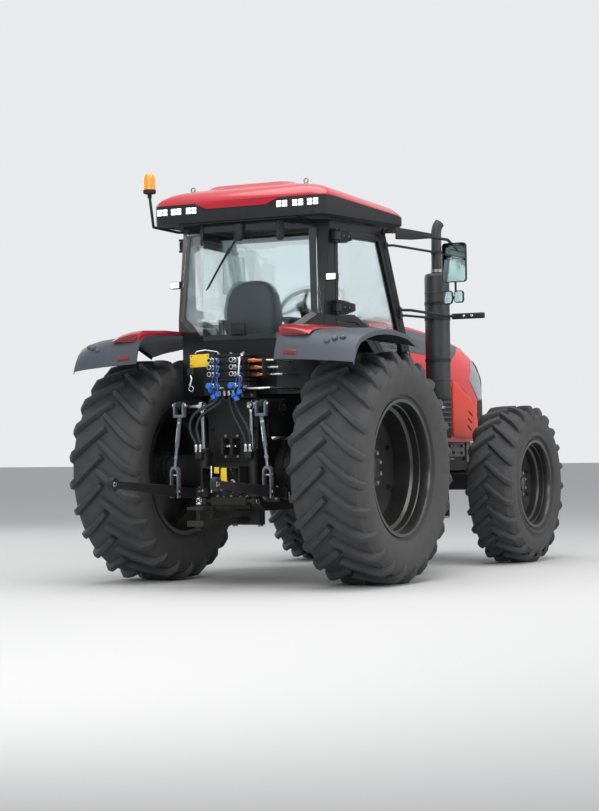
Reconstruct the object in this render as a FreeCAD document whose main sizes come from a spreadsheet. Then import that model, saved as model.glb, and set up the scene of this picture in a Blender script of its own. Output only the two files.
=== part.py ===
import FreeCAD, Part
import math
import os

import Sketcher
from FreeCAD import Placement, Rotation, Vector

# Farm tractor with a closed cab, four driven wheels and a rear three-point hitch.
# Places are measured from the rear axle: X forward, Y to the tractor's left, Z up from the ground.
# At the end every sub-part moves by one shift, so that the origin lies under the middle of the whole machine.

# Driving dimensions, in millimetres and degrees
SIZES = {
    # overall places
    "wheelbase": 2750,
    "rear_reach": 1480,
    "seat_gap": 0.3,
    "run_gap": 0.05,
    # rear wheels
    "rear_track": 1900,
    "rear_tyre_radius": 870,
    "rear_tyre_half": 308,
    "rear_tyre_crown_half": 235,
    "rear_tyre_tread_half": 296,
    "rear_tyre_tread_drop": 60,
    "rear_tyre_bulge": 665,
    "rear_tyre_wall": 26,
    "rear_lug_count": 24,
    "rear_lug_high": 48,
    "rear_lug_wide": 38,
    "rear_lug_sweep": 15.5,
    "rear_flange_radius": 516,
    "rear_rim_half": 250,
    "rear_well_radius": 452,
    "rear_disc_place": -46,
    "rear_hub_radius": 165,
    "rear_hub_in": 118,
    "rear_hub_out": 32,
    "rear_stub_radius": 60,
    "rear_stub_long": 210,
    # front wheels
    "front_track": 1960,
    "front_tyre_radius": 680,
    "front_tyre_half": 212,
    "front_tyre_crown_half": 155,
    "front_tyre_tread_half": 203,
    "front_tyre_tread_drop": 47,
    "front_tyre_bulge": 512,
    "front_tyre_wall": 22,
    "front_lug_count": 22,
    "front_lug_high": 38,
    "front_lug_wide": 34,
    "front_lug_sweep": 14,
    "front_flange_radius": 380,
    "front_rim_half": 190,
    "front_well_radius": 322,
    "front_disc_place": 12,
    "front_hub_radius": 118,
    "front_hub_in": 14,
    "front_hub_out": 66,
    "front_stub_radius": 42,
    "front_stub_long": 95,
    "rim_thick": 12,
    "flange_rise": 20,
    # steering
    "kingpin_half_track": 815,
    "kingpin_radius": 28,
    "knuckle_radius": 70,
    "knuckle_half": 92,
    "yoke_gap": 6,
    "yoke_thick": 36,
    "yoke_web_half": 30,
    "yoke_web_long": 80,
    "drive_housing_radius": 90,
    "steer_arm_long": 200,
    "steer_arm_in": 55,
    "steer_rod_radius": 15,
    "steer_barrel_radius": 36,
    "steer_barrel_half": 210,
    # chassis
    "gearbox_half": 215,
    "gearbox_low": 560,
    "gearbox_top": 1095,
    "gearbox_rear": 440,
    "lift_house_top": 1410,
    "lift_house_front": 150,
    "bell_front": 1230,
    "trumpet_end": 826,
    "trumpet_radius": 118,
    "trumpet_root_radius": 190,
    "engine_rear": 1260,
    "engine_behind_axle": 330,
    "engine_half": 230,
    "engine_low": 860,
    "engine_top": 1700,
    "radiator_ahead": 270,
    "rail_wide": 66,
    "rail_low": 912,
    "rail_top": 1062,
    "rail_ahead": 580,
    "axle_half_wide": 72,
    "axle_low": 630,
    "axle_high": 770,
    "weight_gap": 60,
    "weight_long": 330,
    "weight_low": 640,
    "weight_top": 1010,
    "weight_half": 330,
    "weight_count": 10,
    # cab
    "cab_half": 740,
    "pillar_thick": 48,
    "cab_top": 2760,
    "cab_rear_top": -290,
    "cab_rear_low": -325,
    "cab_flat_half": 320,
    "cab_corner_top": -60,
    "cab_corner_low": -165,
    "cab_corner_half": 648,
    "cab_waist": 2040,
    "cab_rail_low": 1935,
    "window_top_half": 566,
    "window_low_half": 604,
    "a_pillar_top": 760,
    "cowl_front": 1240,
    "cowl_high": 1900,
    "cowl_low": 1560,
    "floor_low": 1120,
    "tub_half": 590,
    "tub_thick": 28,
    "platform_high": 1480,
    "door_gap": 7,
    "door_border": 42,
    "door_thick": 40,
    "glass_thick": 6,
    "door_rear": 10,
    "hinge_behind": 45,
    "hinge_reach": 35,
    "hinge_pin": 8,
    "hinge_drop": 125,
    "hinge_rise": 155,
    # roof
    "roof_band_top": 2868,
    "roof_shoulder": 2985,
    "roof_crown": 3070,
    "roof_rear": 355,
    "roof_front": 1090,
    "roof_half": 765,
    "roof_thick": 28,
    # hood
    "hood_rear": 1330,
    "hood_nose_ahead": 750,
    "hood_half": 410,
    "hood_rear_top": 2075,
    "hood_hinge_lift": 17,
    "hood_hinge_out": 150,
    "hood_hinge_pin": 6,
    "hood_thick": 22,
    "hood_side_low": 1050,
    # fenders
    "fender_out": 1205,
    "fender_thick": 22,
    # exhaust
    "stack_place": 1600,
    "stack_out": 780,
    "stack_bracket_radius": 11,
    "muffler_radius": 103,
    "muffler_low": 1395,
    "muffler_top": 2450,
    "stack_radius": 42,
    "stack_tip": 2900,
    # tanks and steps
    "tank_rear": 960,
    "tank_behind_axle": 990,
    "tank_in": 330,
    "tank_out": 810,
    "tank_low": 620,
    "tank_top": 1050,
    "step_out": 1010,
    "step_low": 446,
    "step_wide": 300,
    # mirrors and beacon
    "arm_radius": 12,
    "mirror_ahead": 1370,
    "mirror_thick": 62,
    "mirror_reach": 190,
    "mirror_wide": 212,
    "mirror_high": 322,
    "mirror_low": 2350,
    "marker_reach": 550,
    "marker_high": 2073,
    "beacon_out": 92,
    "beacon_low": 3040,
    "beacon_tall": 160,
    # hitch
    "shaft_place": -330,
    "shaft_high": 1335,
    "shaft_radius": 42,
    "arm_reach": 300,
    "arm_rise": 27,
    "arm_out": 354,
    "link_place": -330,
    "link_high": 688,
    "link_out": 390,
    "link_end_high": 790,
    "link_end_out": 430,
    "link_eye_radius": 50,
    "link_ball_bore": 14.3,
    "cyl_out": 212,
    "cyl_foot_place": -500,
    "cyl_foot_high": 640,
    "cyl_radius": 38,
    "cyl_rod_radius": 17.5,
    "cyl_arm_reach": 205,
    "lift_pin": 12,
    "eye_play": 14,
    "link_pin": 15,
    "top_pin_bore": 12.75,
    "tow_pin": 15,
    "pto_radius": 17.5,
}

doc = FreeCAD.newDocument("tractor")
sheet = doc.addObject("Spreadsheet::Sheet", "Sizes")
for row, (alias, amount) in enumerate(SIZES.items(), 1):
    sheet.set("A%d" % row, alias)
    sheet.set("B%d" % row, str(amount))
    sheet.setAlias("B%d" % row, alias)
doc.recompute()


class Formula:
    """A size that remembers how it was worked out, so that a property can be bound to the sheet."""

    def __init__(self, text, value):
        self.text = text
        self.value = float(value)

    def __float__(self):
        return self.value

    def __neg__(self):
        return Formula("(-1 * %s)" % self.text, -self.value)

    def __add__(self, other):
        return combine(self, "+", other, self.value + float(other))

    def __radd__(self, other):
        return combine(other, "+", self, float(other) + self.value)

    def __sub__(self, other):
        return combine(self, "-", other, self.value - float(other))

    def __rsub__(self, other):
        return combine(other, "-", self, float(other) - self.value)

    def __mul__(self, other):
        return combine(self, "*", other, self.value * float(other))

    def __rmul__(self, other):
        return combine(other, "*", self, float(other) * self.value)

    def __truediv__(self, other):
        return combine(self, "/", other, self.value / float(other))


def text_of(amount):
    return amount.text if isinstance(amount, Formula) else "(%r)" % float(amount)


def combine(left, sign, right, value):
    return Formula("(%s %s %s)" % (text_of(left), sign, text_of(right)), value)


class Sheet:
    """Gives each driving dimension by its name."""

    def __getattr__(self, alias):
        return Formula("Sizes.%s" % alias, sheet.get(alias))


s = Sheet()


def bind(thing, path, amount):
    thing.setExpression(path, text_of(amount))


# Ways of making pieces: boxes, bars, padded and turned outlines, bent pipes, lofts and booleans
def block(name, x, y, z):
    """A box between two places along each axis."""
    piece = doc.addObject("Part::Box", name)
    for side, axis, (low, high) in (("Length", "x", x), ("Width", "y", y), ("Height", "z", z)):
        bind(piece, side, high - low)
        bind(piece, "Placement.Base." + axis, low)
    return piece


TURN_TO = {
    "x": Rotation(Vector(0, 1, 0), 90),
    "y": Rotation(Vector(1, 0, 0), -90),
    "z": Rotation(Vector(0, 0, 1), 0),
}


def bar(name, axis, radius, low, high, **place):
    """A round bar along one axis, between two places on it."""
    piece = doc.addObject("Part::Cylinder", name)
    bind(piece, "Radius", radius)
    bind(piece, "Height", high - low)
    piece.Placement = Placement(Vector(0, 0, 0), TURN_TO[axis])
    place[axis] = low
    for direction, amount in place.items():
        bind(piece, "Placement.Base." + direction, amount)
    return piece


def origin_plane(body, role):
    return next(f for f in body.Origin.OriginFeatures if f.Role == role + "_Plane")


def outline(body, plane, corners, lift):
    """A closed outline on one of the body's own planes: corners are (along, up) or (along, up, rounding)."""
    sketch = body.newObject("Sketcher::SketchObject", body.Name + "_outline")
    sketch.AttachmentSupport = [(origin_plane(body, plane), "")]
    sketch.MapMode = "FlatFace"
    bind(sketch, "AttachmentOffset.Base.z", lift)
    count = len(corners)
    at = [Vector(float(c[0]), float(c[1]), 0) for c in corners]
    trim = []
    for i, corner in enumerate(corners):
        before = (at[i - 1] - at[i]).normalize()
        after = (at[(i + 1) % count] - at[i]).normalize()
        half = before.getAngle(after) / 2
        trim.append(float(corner[2]) / math.tan(half) if len(corner) == 3 else 0)
    for i in range(count):
        along = (at[(i + 1) % count] - at[i]).normalize()
        start = at[i] + along * trim[i]
        end = at[(i + 1) % count] - along * trim[(i + 1) % count]
        sketch.addGeometry(Part.LineSegment(start, end), False)
    for i, corner in enumerate(corners):
        last = (i - 1) % count
        if len(corner) == 2:
            sketch.addConstraint(Sketcher.Constraint("Coincident", last, 2, i, 1))
            place_point(sketch, i, corner)
            continue
        start = sketch.Geometry[last].EndPoint
        end = sketch.Geometry[i].StartPoint
        inward = ((start - at[i]).normalize() + (end - at[i]).normalize()).normalize()
        middle = at[i] + inward * math.hypot(trim[i], float(corner[2]))
        angles = [math.atan2(p.y - middle.y, p.x - middle.x) for p in (start, end)]
        first = 1 if (angles[1] - angles[0]) % (2 * math.pi) < math.pi else 2
        circle = Part.Circle(middle, Vector(0, 0, 1), float(corner[2]))
        arc = sketch.addGeometry(Part.ArcOfCircle(circle, *(angles if first == 1 else angles[::-1])), False)
        sketch.addConstraint(Sketcher.Constraint("Tangent", last, 2, arc, first))
        sketch.addConstraint(Sketcher.Constraint("Tangent", arc, 3 - first, i, 1))
        rounding = sketch.addConstraint(Sketcher.Constraint("Radius", arc, float(corner[2])))
        bind(sketch, "Constraints[%d]" % rounding, corner[2])
        point = sketch.addGeometry(Part.Point(at[i]), True)
        sketch.addConstraint(Sketcher.Constraint("PointOnObject", point, 1, last))
        sketch.addConstraint(Sketcher.Constraint("PointOnObject", point, 1, i))
        place_point(sketch, point, corner)
    return sketch


def place_point(sketch, geometry, corner):
    for kind, amount in (("DistanceX", corner[0]), ("DistanceY", corner[1])):
        distance = sketch.addConstraint(Sketcher.Constraint(kind, -1, 1, geometry, 1, float(amount)))
        bind(sketch, "Constraints[%d]" % distance, amount)


def plate(name, plane, corners, low, high):
    """An outline padded between two places along the axis that stands on its plane."""
    body = doc.addObject("PartDesign::Body", name)
    sketch = outline(body, plane, corners, -1 * high if plane == "XZ" else low)
    pad = body.newObject("PartDesign::Pad", name + "_pad")
    pad.Profile = sketch
    bind(pad, "Length", high - low)
    return body


def turned(name, axis, corners, x=0, y=0, z=0):
    """An outline turned about an axis. Corners are (along, radius), or (radius, along) for a vertical axis."""
    body = doc.addObject("PartDesign::Body", name)
    sketch = outline(body, "YZ" if axis == "y" else "XZ", corners, 0)
    turn = body.newObject("PartDesign::Revolution", name + "_turn")
    turn.Profile = sketch
    turn.ReferenceAxis = (sketch, ["V_Axis" if axis == "z" else "H_Axis"])
    turn.Angle = 360
    for direction, amount in (("x", x), ("y", y), ("z", z)):
        bind(body, "Placement.Base." + direction, amount)
    return body


def vector(point):
    return Vector(*[float(v) for v in point])


def bent_path(points, bend):
    """Straight runs through the points, joined by tangent arcs."""
    at = [vector(p) for p in points]
    edges = []
    start = at[0]
    for i in range(1, len(at) - 1):
        back = (at[i - 1] - at[i]).normalize()
        onward = (at[i + 1] - at[i]).normalize()
        half = back.getAngle(onward) / 2
        cut = float(bend) / math.tan(half)
        arc_start = at[i] + back * cut
        arc_end = at[i] + onward * cut
        middle = at[i] + (back + onward).normalize() * (math.hypot(cut, float(bend)) - float(bend))
        edges.append(Part.LineSegment(start, arc_start).toShape())
        edges.append(Part.Arc(arc_start, middle, arc_end).toShape())
        start = arc_end
    edges.append(Part.LineSegment(start, at[-1]).toShape())
    return Part.Wire(edges)


def pipe(name, points, radius, bend):
    """A round tube or rod that follows straight runs and tangent arcs."""
    path = bent_path(points, bend)
    at = [vector(p) for p in points]
    circle = Part.Wire([Part.Circle(at[0], at[1] - at[0], float(radius)).toShape()])
    return made(name, path.makePipeShell([circle], True, False))


def made(name, shape):
    piece = doc.addObject("Part::Feature", name)
    piece.Shape = shape
    return piece


def polygon(points):
    at = [vector(p) for p in points]
    return Part.makePolygon(at + at[:1])


def lofted(name, sections):
    """A solid drawn straight from section to section; each section is a closed list of corners."""
    return made(name, Part.makeLoft([polygon(section) for section in sections], True, True))


def joined(name, pieces):
    whole = doc.addObject("Part::MultiFuse", name)
    whole.Shapes = pieces
    whole.Refine = True
    return whole


def cut(name, base, tools):
    tool = tools[0]
    if len(tools) > 1:
        tool = doc.addObject("Part::MultiFuse", name + "_tools")
        tool.Shapes = tools
    piece = doc.addObject("Part::Cut", name)
    piece.Base = base
    piece.Tool = tool
    return piece


def overlap(name, pieces):
    piece = doc.addObject("Part::MultiCommon", name)
    piece.Shapes = pieces
    return piece


def mirrored(name, source):
    """The same piece on the other side of the tractor."""
    piece = doc.addObject("Part::Mirroring", name)
    piece.Source = source
    piece.Normal = Vector(0, 1, 0)
    return piece


nodes = []
rail_front = s.wheelbase + s.rail_ahead
weight_back = rail_front + s.weight_gap
weight_front = weight_back + s.weight_long
engine_front = s.wheelbase - s.engine_behind_axle
radiator_place = s.wheelbase + s.radiator_ahead
hood_nose = s.wheelbase + s.hood_nose_ahead
tank_front = s.wheelbase - s.tank_behind_axle
middle_shift = (s.rear_reach - weight_front) / 2


def node(label, *pieces):
    """One sub-part under its own label, moved so that the origin lies under the machine's middle."""
    part = doc.addObject("Part::Compound", label)
    part.Links = list(pieces)
    part.Label = label
    bind(part, "Placement.Base.x", middle_shift)
    nodes.append(part)


def both_sides(half):
    """An outline's right half and its mirror image, from one end to the other."""
    return list(half) + [(-1 * c[0],) + tuple(c[1:]) for c in reversed(half)]


# Tyres: a casing with an air chamber from bead to bead, with long lugs on both halves of its tread
def at_angle(angle, across, reach):
    """A point of a wheel, by its angle from the top, its place across and its distance from the axle."""
    return Vector(reach * math.sin(angle), across, reach * math.cos(angle))


def circle_of(count, turned_by, across, reach):
    """A ring of points at equal angles, as (angle, point)."""
    return [(angle, at_angle(angle, across, reach))
            for angle in (turned_by + 2 * math.pi * i / count for i in range(count))]


def band(first, second):
    """Triangles between two rings, going round both by their angles."""
    whole = 2 * math.pi
    first, second = sorted((a % whole, p) for a, p in first), sorted((a % whole, p) for a, p in second)
    first.append((first[0][0] + whole, first[0][1]))
    second.append((second[0][0] + whole, second[0][1]))
    faces = []
    i = j = 0
    while i < len(first) - 1 or j < len(second) - 1:
        on_first = j == len(second) - 1 or (i < len(first) - 1 and first[i + 1][0] <= second[j + 1][0])
        onward = first[i + 1][1] if on_first else second[j + 1][1]
        faces.append((first[i][1], second[j][1], onward))
        i, j = (i + 1, j) if on_first else (i, j + 1)
    return faces


def quad(a, b, c, d):
    return [(a, b, c), (a, c, d)]


def closed_solid(name, triangles):
    """A solid inside flat faces that share their edges."""
    shell = Part.makeShell([Part.Face(polygon(corners)) for corners in triangles])
    shell.sewShape()
    solid = Part.makeSolid(shell)
    if solid.Volume < 0:
        solid.reverse()
    return made(name, solid)


def tyre_half(hand, count, radius, half, crown_half, tread_half, drop, bulge, lug_high, lug_wide, sweep):
    """The tread and the outside of one half, down to its widest ring, and the ring beside the middle of the tread."""
    pitch = 2 * math.pi / count
    crown_share = 0.86
    nose_across = 6
    lug_draft = 11
    run = radius * math.radians(sweep) * crown_share
    stretch = math.hypot(1, run / crown_half)
    floor = radius - lug_high
    foot = radius - drop - 0.85 * lug_high
    rows = (
        # across, share of the sweep, top, foot, width share
        (nose_across, 0, radius, floor, 0.9),
        (crown_half, crown_share, radius, floor, 1.05),
        (tread_half, 1, radius - drop, foot, 1.2),
    )
    lugs = []
    for i in range(count):
        start = pitch * (i + (0.5 if hand > 0 else 0))
        lug = []
        for across, share, top, low, wide in rows:
            middle = start - math.radians(sweep) * share
            top_turn = lug_wide * wide * stretch / 2 / top
            low_turn = (lug_wide * wide / 2 + lug_draft) * stretch / low
            lug.append((at_angle(middle - low_turn, hand * across, low), at_angle(middle - top_turn, hand * across, top),
                        at_angle(middle + top_turn, hand * across, top), at_angle(middle + low_turn, hand * across, low),
                        middle - low_turn, middle + low_turn))
        lugs.append(lug)
    gap_turn = pitch / 2 - math.radians(sweep)
    gaps = [at_angle(pitch * (i + (0.5 if hand > 0 else 0)) + gap_turn, hand * (tread_half - 24), foot)
            for i in range(count)]
    wide_ring = circle_of(count, (pitch / 2 if hand > 0 else 0) - 1.1 * math.radians(sweep), hand * half, bulge)
    faces = []
    for i in range(count):
        (a0, top_a0, top_b0, b0), (a1, top_a1, top_b1, b1), (_, top_a2, top_b2, _) = [row[:4] for row in lugs[i]]
        next_nose, next_crown = lugs[(i + 1) % count][0][0], lugs[(i + 1) % count][1][0]
        gap_before, gap_after = gaps[i - 1], gaps[i]
        under, under_next = wide_ring[i][1], wide_ring[(i + 1) % count][1]
        faces += quad(top_a0, top_b0, top_b1, top_a1) + quad(top_a1, top_b1, top_b2, top_a2)
        faces += quad(a0, top_a0, top_a1, a1) + quad(a1, top_a1, top_a2, gap_before)
        faces += quad(b0, top_b0, top_b1, b1) + quad(b1, top_b1, top_b2, gap_after)
        faces += quad(a0, b0, top_b0, top_a0) + quad(b0, next_nose, next_crown, b1) + [(b1, next_crown, gap_after)]
        faces += [(gap_before, top_a2, under), (top_a2, top_b2, under), (top_b2, gap_after, under)]
        faces.append((under, gap_after, under_next))
    nose_ring = [(lug[0][4], lug[0][0]) for lug in lugs] + [(lug[0][5], lug[0][3]) for lug in lugs]
    return faces, nose_ring, wide_ring


def tyre(name, radius, half, crown_half, tread_half, drop, bulge, wall, lug_count, lug_high, lug_wide, sweep,
         rim_half, flange, place):
    count = int(float(lug_count))
    radius, half, crown_half, tread_half, drop, bulge, wall, lug_high, lug_wide, sweep, rim_half, flange = [
        float(v) for v in (radius, half, crown_half, tread_half, drop, bulge, wall, lug_high, lug_wide, sweep,
                           rim_half, flange)]
    outwards = 1 / math.cos(math.pi / count)
    seat = (flange - float(s.flange_rise) + float(s.seat_gap)) * outwards
    lip = (flange + float(s.seat_gap)) * outwards
    bead_half = rim_half - float(s.rim_thick) - float(s.seat_gap)
    faces = []
    noses = []
    chambers = []
    for hand in (1, -1):
        outside, nose_ring, wide_ring = tyre_half(hand, count, radius, half, crown_half, tread_half, drop, bulge,
                                                  lug_high, lug_wide, sweep)
        turn = wide_ring[0][0]
        rings = [
            wide_ring,
            circle_of(count, turn, hand * bead_half, lip),
            circle_of(count, turn, hand * bead_half, seat),
            circle_of(count, turn, hand * (bead_half - wall), seat),
            circle_of(count // 2, turn, hand * (half - wall), bulge),
            circle_of(count // 2, turn, hand * (crown_half - wall), radius - lug_high - 1.6 * wall),
        ]
        faces += outside
        for outer, inner in zip(rings, rings[1:]):
            faces += band(outer, inner)
        noses.append(nose_ring)
        chambers.append(rings[-1])
    faces += band(*noses) + band(*chambers)
    piece = closed_solid(name, faces)
    for direction, amount in zip("xyz", place):
        bind(piece, "Placement.Base." + direction, amount)
    return piece


rear_wheel = (0, s.rear_track / 2, s.rear_tyre_radius)
front_wheel = (s.wheelbase, s.front_track / 2, s.front_tyre_radius)
rear_tyre = tyre(
    "rear_tyre", s.rear_tyre_radius, s.rear_tyre_half, s.rear_tyre_crown_half, s.rear_tyre_tread_half,
    s.rear_tyre_tread_drop, s.rear_tyre_bulge, s.rear_tyre_wall, s.rear_lug_count, s.rear_lug_high, s.rear_lug_wide,
    s.rear_lug_sweep, s.rear_rim_half, s.rear_flange_radius, rear_wheel,
)
front_tyre = tyre(
    "front_tyre", s.front_tyre_radius, s.front_tyre_half, s.front_tyre_crown_half, s.front_tyre_tread_half,
    s.front_tyre_tread_drop, s.front_tyre_bulge, s.front_tyre_wall, s.front_lug_count, s.front_lug_high,
    s.front_lug_wide, s.front_lug_sweep, s.front_rim_half, s.front_flange_radius, front_wheel,
)
node("rear_tyre_left", rear_tyre)
node("rear_tyre_right", mirrored("rear_tyre_twin", rear_tyre))
node("front_tyre_left", front_tyre)
node("front_tyre_right", mirrored("front_tyre_twin", front_tyre))


# Rims: flanges, bead seats, a stepped well, a disc set in deep, and the hub with its stub shaft
def rim(name, flange, half, well, disc, hub, hub_in, hub_out, stub, stub_long, place):
    seat = flange - s.flange_rise
    wall = s.rim_thick
    outside = [(half, flange), (half - wall, flange), (half - wall, seat), (half * 0.5, seat - 6), (half * 0.3, well)]
    inside = [
        (-1 * half, seat - wall),
        (-0.5 * half, seat - wall - 6),
        (-0.3 * half, well - wall),
        (disc - wall, well - wall),
        (disc - wall, hub),
        (-1 * hub_in, hub),
        (-1 * hub_in, stub),
        (-1 * (hub_in + stub_long), stub),
        (-1 * (hub_in + stub_long), 0),
        (hub_out + 22, 0),
        (hub_out + 22, hub * 0.4),
        (hub_out, hub * 0.45),
        (hub_out, hub * 0.82),
        (disc, hub),
        (disc, well - wall),
        (0.3 * half, well - wall),
        (0.5 * half, seat - wall - 6),
        (half, seat - wall),
    ]
    return turned(name, "y", both_sides(outside) + inside, *place)


rear_rim = rim(
    "rear_rim", s.rear_flange_radius, s.rear_rim_half, s.rear_well_radius, s.rear_disc_place,
    s.rear_hub_radius, s.rear_hub_in, s.rear_hub_out, s.rear_stub_radius, s.rear_stub_long, rear_wheel,
)
front_rim = rim(
    "front_rim", s.front_flange_radius, s.front_rim_half, s.front_well_radius, s.front_disc_place,
    s.front_hub_radius, s.front_hub_in, s.front_hub_out, s.front_stub_radius, s.front_stub_long, front_wheel,
)
node("rear_rim_left", rear_rim)
node("rear_rim_right", mirrored("rear_rim_twin", rear_rim))
node("front_rim_left", front_rim)
node("front_rim_right", mirrored("front_rim_twin", front_rim))

# Gearbox, bell housing and lift housing: one casting outline, with the axle trumpets on its sides
gearbox = plate("gearbox_case", "XZ", [
    (-1 * s.gearbox_rear, s.gearbox_low + 60, 30),
    (-1 * s.gearbox_rear + 120, s.gearbox_low, 30),
    (300, s.gearbox_low, 60),
    (620, s.gearbox_low + 100, 60),
    (s.bell_front, s.gearbox_low + 160),
    (s.bell_front, s.gearbox_top),
    (-1 * s.gearbox_rear + s.lift_house_front + 60, s.gearbox_top, 30),
    (-1 * s.gearbox_rear + s.lift_house_front, s.lift_house_top, 20),
    (-1 * s.gearbox_rear, s.lift_house_top, 20),
], -1 * s.gearbox_half, s.gearbox_half)
trumpets = turned("trumpets", "y", both_sides([
    (s.trumpet_end, 0),
    (s.trumpet_end, s.trumpet_radius + 30),
    (s.trumpet_end - 26, s.trumpet_radius + 30),
    (s.trumpet_end - 26, s.trumpet_radius),
    (s.trumpet_end - 180, s.trumpet_radius),
    (s.gearbox_half + 40, s.trumpet_root_radius),
    (s.gearbox_half - 20, s.trumpet_root_radius),
]), z=s.rear_tyre_radius)
stub_tip = s.rear_track / 2 - s.rear_hub_in - s.rear_stub_long
trumpet_bores = [
    bar("trumpet_bore_left", "y", s.rear_stub_radius + s.run_gap, stub_tip - 4, s.trumpet_end + 4,
        z=s.rear_tyre_radius),
    bar("trumpet_bore_right", "y", s.rear_stub_radius + s.run_gap, -1 * (s.trumpet_end + 4), 4 - stub_tip,
        z=s.rear_tyre_radius),
]
shaft_bore = bar("shaft_bore", "y", s.shaft_radius + s.run_gap, -1 * s.gearbox_half - 5, s.gearbox_half + 5,
                 x=s.shaft_place, z=s.shaft_high)
pto_bore = bar("pto_bore", "x", 22 + s.run_gap, -1 * s.gearbox_rear - 5, -1 * s.gearbox_rear + 90, z=775)
node("transmission", cut("transmission_case", joined("transmission_whole", [gearbox, trumpets]),
                         trumpet_bores + [shaft_bore, pto_bore]))

# Engine: a plain block at its real place and size
node("engine", block("engine_block", (s.engine_rear, engine_front), (-1 * s.engine_half, s.engine_half),
                     (s.engine_low, s.engine_top)),
     block("radiator_core", (radiator_place, radiator_place + 100), (-290, 290),
           (s.rail_top + s.seat_gap, s.engine_top - 10)))

# Front frame: two rails, the saddle over the axle with its two pivot ears, and the nose block
rail_inner = s.gearbox_half + 17
rail_outer = rail_inner + s.rail_wide
rails = [
    block("rail_left", (s.bell_front + s.seat_gap, rail_front), (rail_inner, rail_outer), (s.rail_low, s.rail_top)),
    block("rail_right", (s.bell_front + s.seat_gap, rail_front), (-1 * rail_outer, -1 * rail_inner),
          (s.rail_low, s.rail_top)),
]
saddle = block("saddle", (s.wheelbase - 150, rail_front), (-1 * rail_outer, rail_outer),
               (s.axle_high + 26, s.rail_low + 20))
nose_block = block("nose_block", (rail_front - 120, weight_back - 40), (-1 * rail_outer, rail_outer),
                   (s.axle_high + 26, s.rail_top))
rear_face = block("rear_face", (s.bell_front + s.seat_gap, s.engine_rear - s.seat_gap), (-1 * rail_outer, rail_outer),
                  (s.engine_low - 60, s.rail_top))
ears = []
for end, side in (("front", 1), ("rear", -1)):
    near = s.wheelbase + side * (s.axle_half_wide + s.seat_gap)
    far = s.wheelbase + side * (s.axle_half_wide + 60)
    ears.append(block("ear_" + end, (near, far) if side > 0 else (far, near), (-80, 80),
                      (s.axle_low + 30, s.axle_high + 40)))
node("front_frame", joined("front_frame_whole", rails + [saddle, nose_block, rear_face] + ears))

# Front weights: slabs side by side on the nose block's bar
slab = 2 * s.weight_half / s.weight_count
weights = []
for i in range(int(float(s.weight_count))):
    low = i * slab - s.weight_half
    weights.append(plate("weight_%d" % i, "XZ", [
        (weight_back, s.weight_low + 60, 30),
        (weight_back + 90, s.weight_low, 40),
        (weight_front, s.weight_low + 40, 60),
        (weight_front, s.weight_top - 60, 60),
        (weight_front - 120, s.weight_top, 40),
        (weight_back, s.weight_top, 20),
    ], low + 1.5, low + slab - 1.5))
weight_bar = block("weight_bar", (weight_back - 40 + s.seat_gap, weight_back), (-1 * s.weight_half, s.weight_half),
                   (s.weight_low + 90, s.weight_top - 40))
node("front_weights", joined("front_weights_whole", weights + [weight_bar]))

# Front axle: a beam with its housing in the middle and a yoke at each end for the kingpins
kingpin = s.kingpin_half_track
yoke_out = kingpin - s.knuckle_radius - s.yoke_gap
yoke_half = s.knuckle_half + s.yoke_gap + s.yoke_thick
web_in = yoke_out - s.yoke_web_long
axle_z = s.front_tyre_radius
beam = [
    block("beam", (s.wheelbase - s.axle_half_wide, s.wheelbase + s.axle_half_wide), (0, web_in + 1),
          (s.axle_low, s.axle_high)),
    block("yoke_web", (s.wheelbase - s.yoke_web_half, s.wheelbase + s.yoke_web_half), (web_in, yoke_out),
          (axle_z - yoke_half, axle_z + yoke_half)),
]
for name, low, high in (("upper", yoke_half - s.yoke_thick, yoke_half), ("lower", -1 * yoke_half, s.yoke_thick - yoke_half)):
    beam.append(block("yoke_%s" % name, (s.wheelbase - 50, s.wheelbase + 50), (yoke_out - 42, kingpin + 44),
                      (axle_z + low, axle_z + high)))
half_axle = cut("half_axle", joined("half_axle_whole", beam), [
    bar("kingpin_bore", "z", s.kingpin_radius + s.run_gap, axle_z - yoke_half - 5, axle_z + yoke_half + 5,
        x=s.wheelbase, y=kingpin),
])
axle_housing = turned("axle_housing", "y", both_sides([
    (100, 0), (100, 62), (64, 98), (28, 108),
]), s.wheelbase, 190, axle_z)
steer_x = s.wheelbase - s.steer_arm_long
steer_z = axle_z + 88
steer_barrel = bar("steer_barrel", "y", s.steer_barrel_radius, -1 * s.steer_barrel_half, s.steer_barrel_half,
                   x=steer_x, z=steer_z)
barrel_feet = [
    block("barrel_foot_%d" % i, (steer_x + 20, s.wheelbase - s.axle_half_wide + 5), (y - 14, y + 14),
          (steer_z - 30, steer_z))
    for i, y in enumerate((-150, 150))
]
steer_bore = bar("steer_bore", "y", s.steer_rod_radius + s.run_gap, -1 * s.steer_barrel_half - 5,
                 s.steer_barrel_half + 5, x=steer_x, z=steer_z)
node("front_axle", cut("front_axle_bored", joined("front_axle_whole", [
    half_axle, mirrored("half_axle_twin", half_axle), axle_housing, steer_barrel,
] + barrel_feet), [steer_bore]))

# Steering rod: one rod through the cylinder, with an eye over each steering arm
arm_y = kingpin - s.steer_arm_in
rod_pieces = [bar("steer_rod_bar", "y", s.steer_rod_radius, -1 * arm_y, arm_y, x=steer_x, z=steer_z)]
for side in (-1, 1):
    rod_pieces.append(bar("steer_eye", "z", 27, steer_z - s.steer_rod_radius - 2, steer_z + s.steer_rod_radius + 2,
                          x=steer_x, y=side * arm_y))
node("steering_rod", joined("steering_rod_whole", rod_pieces))

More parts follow.
